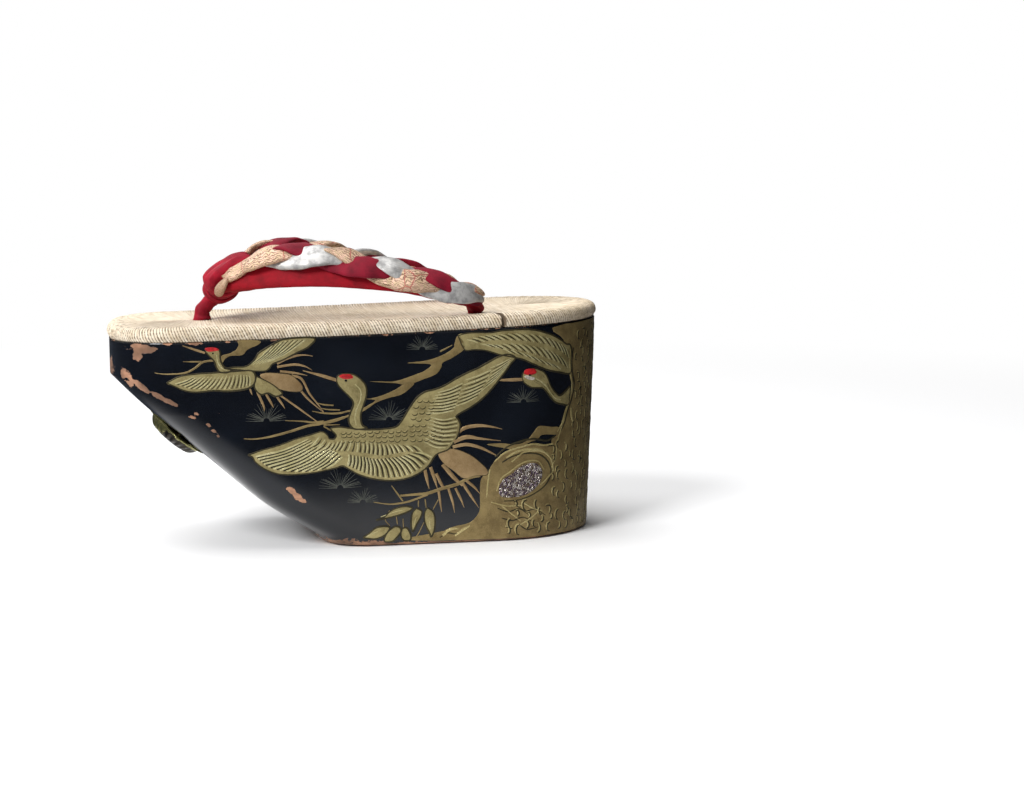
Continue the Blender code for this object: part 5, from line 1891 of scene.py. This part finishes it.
@dataclass
class Decoration:
    """The raised gold picture of cranes and an old pine, the same on both sides."""

    form: BlockForm
    bend: float = 3.0
    flatten: float = 0.36

    def sheet(self, plate: Plate) -> bpy.types.Object:
        """A plate as a flat mesh, drawn in s and h."""
        line = smooth_run(np.array(plate.outline), 4, closed=True)
        curve = self.new_curve("2D")
        data = curve.data
        data.fill_mode = "BOTH"
        data.extrude = plate.thick
        data.bevel_depth = 0.09
        data.bevel_resolution = 1
        data.offset = -0.06
        self.traced(data, line).use_cyclic_u = True
        only(curve)
        bpy.ops.object.convert(target="MESH")
        return bpy.context.active_object

    def new_curve(self, dimensions: str) -> bpy.types.Object:
        """An empty curve."""
        made = added(bpy.ops.curve.primitive_nurbs_path_add, location=(0, 0, 0))
        made.data.splines.clear()
        made.data.dimensions = dimensions
        return made

    def traced(self, data: bpy.types.Curve, line: Array) -> bpy.types.Spline:
        """A line of s and h, added to a curve."""
        spline = data.splines.new("POLY")
        spline.points.add(len(line) - 1)
        zero = np.zeros(len(line))
        spline.points.foreach_set("co", np.column_stack([line, zero, zero + 1]).ravel())
        return spline

    def brushed(self, layer: Layer, lines: Sequence[Stroke]) -> bpy.types.Object:
        """All strokes of a layer as one flat mesh."""
        piece = self.new_curve("3D")
        data = piece.data
        data.bevel_depth = 1.0
        data.bevel_resolution = 1
        data.use_fill_caps = True
        for stroke in lines:
            line = smooth_run(np.array(stroke.line), 5)
            share = np.linspace(0, 1, len(line))
            width = stroke.start + (stroke.end - stroke.start) * share
            full = 0.6 + 0.4 * np.sin(np.clip(share, 0.1, 0.9) * math.pi)
            self.traced(data, line).points.foreach_set("radius", width / 2 * full)
        only(piece)
        bpy.ops.object.convert(target="MESH")
        made = bpy.context.active_object
        points = read_points(made)
        points[:, 2] = points[:, 2] * self.flatten + layer.lift
        write_points(made, points)
        return made

    def bent(self, flat: bpy.types.Object) -> None:
        """Cuts a flat mesh across, so that it can follow the round toe and heel."""
        points = read_points(flat)
        low, high = points[:, 0].min(), points[:, 0].max()
        places = [s for s in np.arange(-96.0, 2 * self.form.tip, self.bend)
                  if s < -60.0 or s > 55.0]
        only(flat)
        bpy.ops.object.mode_set(mode="EDIT")
        for s in places:
            if low < s < high:
                bpy.ops.mesh.select_all(action="SELECT")
                bpy.ops.mesh.bisect(plane_co=(float(s), 0.0, 0.0), plane_no=(1.0, 0.0, 0.0))
        for h in np.arange(5.0, 97.0, 6.0):
            bpy.ops.mesh.select_all(action="SELECT")
            bpy.ops.mesh.bisect(plane_co=(0.0, float(h), 0.0), plane_no=(0.0, 1.0, 0.0))
        bpy.ops.object.mode_set(mode="OBJECT")

    def laid(self, layer: Layer, flat: bpy.types.Object, finish: bpy.types.Material,
             sides: Sequence[Side]) -> bpy.types.Object:
        """Lays a flat mesh on the wood and dresses it."""
        parts = [flat] + [copy_of(flat) for _ in sides[1:]]
        for part, side in zip(parts, sides):
            write_points(part, self.form.lay(read_points(part), side) * MM)
            close_up(part, 1e-8)
        piece = join(layer.piece, parts)
        only(piece)
        bpy.ops.object.shade_smooth_by_angle(angle=math.radians(50.0))
        return settle(piece, finish)

    def finishes(self) -> dict[Layer, bpy.types.Material]:
        """The material of each layer."""
        looks = {
            Layer.CRANE: RaisedGold("crane_gold", (0.235, 0.19, 0.075), (0.43, 0.36, 0.16)),
            # The ridge and bark golds are brighter than the crane gold, in part as a painted
            # highlight on raised strokes.
            Layer.RIDGE: RaisedGold("ridge_gold", (0.50, 0.45, 0.21),
                                    (0.74, 0.68, 0.38), 0.30, 0.50),
            # Dark gold for the strokes of painted shade.
            Layer.GROOVE: RaisedGold("painted_shade_gold", (0.024, 0.020, 0.007),
                                     (0.058, 0.047, 0.018), 0.5),
            Layer.TAIL: RaisedGold("tail_gold", (0.26, 0.165, 0.070), (0.41, 0.28, 0.135)),
            Layer.TREE: RaisedGold("tree_gold", (0.18, 0.125, 0.047), (0.32, 0.235, 0.095)),
            Layer.BARK: RaisedGold("bark_gold", (0.40, 0.315, 0.125),
                                   (0.62, 0.52, 0.24), 0.28, 0.50),
            Layer.LINE: RaisedGold("incised_gold", (0.045, 0.05, 0.042),
                                   (0.11, 0.115, 0.095), 0.4, 0.3),
            Layer.RED: Paint("vermilion", (0.55, 0.012, 0.016)),
            Layer.WHITE: Paint("shell_white", (0.55, 0.50, 0.42)),
            Layer.DARK: Paint("eye_black", (0.012, 0.010, 0.008), 0.2),
            Layer.SHELL: Shell(),
        }
        return {layer: look.make() for layer, look in looks.items()}

    def build(self) -> None:
        """Draws every layer and lays it on both sides."""
        finishes = self.finishes()
        rng = random.Random(5)
        shapes = plates()
        tip = self.form.tip
        lines = strokes() + scales(rng)
        scaled = bark(rng, tip)
        trunk_sheet = self.sheet(trunk(tip))
        self.bent(trunk_sheet)
        whole = [(Layer.TREE, "gold_trunk", trunk_sheet)]
        for layer, name in ((Layer.GROOVE, "gold_trunk_shade"), (Layer.BARK, "gold_trunk_bark")):
            whole.append((layer, name,
                          self.brushed(layer, [line for line in scaled if line.layer is layer])))
        for layer, name, flat in whole:
            piece = self.laid(layer, flat, finishes[layer], [Side.NEAR])
            piece.name = piece.data.name = name
        for layer in Layer:
            parts = [self.sheet(plate) for plate in shapes if plate.layer is layer]
            brushed = [stroke for stroke in lines if stroke.layer is layer]
            if parts:
                flat = join("flat", parts)
                self.bent(flat)
                parts = [flat]
            if brushed:
                parts.append(self.brushed(layer, brushed))
            if parts:
                self.laid(layer, join("flat", parts), finishes[layer], list(Side))


# The studio.


@dataclass
class Studio:
    """A pale floor, soft light and the photograph's camera."""

    lens: float = 70.3125
    place: tuple[float, float, float] = (-0.1049, -0.9177, 0.1779)
    aim: tuple[float, float, float] = (0.1893, 0.9740, -0.1247)
    roll: float = -0.004

    def floor(self) -> None:
        """A pale floor."""
        floor = added(bpy.ops.mesh.primitive_plane_add, size=24.0, location=(0.0, 0.0, -0.0004))
        floor.name = "studio_floor"
        board = Board("floor_white")
        white = board.add("BsdfDiffuse", {"Color": (0.93, 0.93, 0.935, 1.0)})
        glow = board.add("Emission", {"Strength": 1.0})
        dim = board.add("BsdfDiffuse", {"Color": (0.035, 0.04, 0.05, 1.0)})
        reach = board.add("VectorMath", {0: board.object}, operation="LENGTH").outputs["Value"]
        pale = board.add("MixShader", {0: board.band(reach, 0.32, 0.95), 1: white, 2: glow})
        path = board.add("LightPath")
        mirrored = board.sum("MULTIPLY", path.outputs["Is Glossy Ray"],
                             board.band(reach, 0.05, 0.19))
        along = board.add("SeparateXYZ", {"Vector": board.object}).outputs[0]
        right = board.band(along, 0.06, 0.22, 0.0, 0.9)
        unseen = board.sum("SUBTRACT", 1.0, path.outputs["Is Camera Ray"])
        hidden = board.sum("MAXIMUM", mirrored, board.sum("MULTIPLY", right, unseen))
        shown = board.add("MixShader", {0: hidden, 1: pale, 2: dim})
        board.feed(board.tree.nodes["Material Output"], {"Surface": shown})
        board.tree.nodes.remove(board.shader)
        floor.data.materials.append(board.material)

    def light(self, name: str, place: tuple[float, float, float],
              size: float, power: float) -> None:
        """A soft square light aimed at the shoe."""
        way = Vector((0.0, 0.0, 0.05)) - Vector(place)
        lamp = added(bpy.ops.object.light_add, type="AREA", location=place,
                     rotation=way.to_track_quat("-Z", "Y").to_euler())
        lamp.name = name
        lamp.data.size = size
        lamp.data.energy = power

    def world(self) -> None:
        """White around, dimmer and graded where it is only reflected."""
        board = Sky("studio")
        bpy.context.scene.world = board.world
        split = board.add("SeparateXYZ", {0: board.add("TexCoord").outputs["Generated"]})
        rise = board.add("MapRange", {"Value": split.outputs["Z"], "From Min": -0.05,
                                      "From Max": 0.75, "To Min": 0.06, "To Max": 0.75})
        fall = board.add("MapRange", {"Value": split.outputs["X"], "From Min": -0.1,
                                      "From Max": 0.75, "To Min": 1.0, "To Max": 0.0})
        path = board.add("LightPath")
        mirrored = board.add("Background", {"Strength": board.sum("MULTIPLY", rise, fall)})
        even = board.add("Background", {"Strength": board.sum("MULTIPLY", fall, 0.44)})
        soft = board.add("MixShader", {0: path.outputs["Is Glossy Ray"], 1: even, 2: mirrored})
        white = board.add("Background", {"Color": (1.0, 1.0, 1.0, 1.0)})
        seen = board.add("MixShader", {0: path.outputs["Is Camera Ray"], 1: soft, 2: white})
        board.add("OutputWorld", {0: seen})

    def camera(self) -> None:
        """The camera at the photograph's place."""
        camera = added(bpy.ops.object.camera_add)
        forward = Vector(self.aim).normalized()
        right = forward.cross(Vector((0, 0, 1))).normalized()
        up = right.cross(forward)
        c, s = math.cos(self.roll), math.sin(self.roll)
        turned = Matrix((right * c + up * s, up * c - right * s, -forward)).transposed().to_4x4()
        turned.translation = Vector(self.place)
        camera.matrix_world = turned
        camera.data.lens = self.lens
        camera.data.sensor_width = 36.0
        camera.data.clip_end = 30.0
        camera.data.dof.use_dof = False
        bpy.context.scene.camera = camera

    def build(self) -> None:
        """Sets up the whole studio."""
        self.camera()
        self.floor()
        self.world()
        self.light("key", (-1.0, -0.9, 1.1), 0.6, 24.0)
        self.light("top", (-0.35, 0.15, 1.5), 1.2, 17.0)
        self.light("back", (-0.5, 1.2, 1.0), 1.2, 6.0)
        bpy.context.scene.view_settings.view_transform = "Standard"


def main() -> None:
    """Builds the shoe and its studio."""
    logging.basicConfig(level=logging.INFO, format="%(name)s: %(message)s")
    form = BlockForm()
    block = Block(form)
    Studio().build()
    block.build()
    Mat(form, Rush()).build()
    Thong(form).build(block)
    cap = Cap(block)
    cap.build()
    cap.nails()
    Decoration(form).build()


if __name__ == "__main__":
    main()
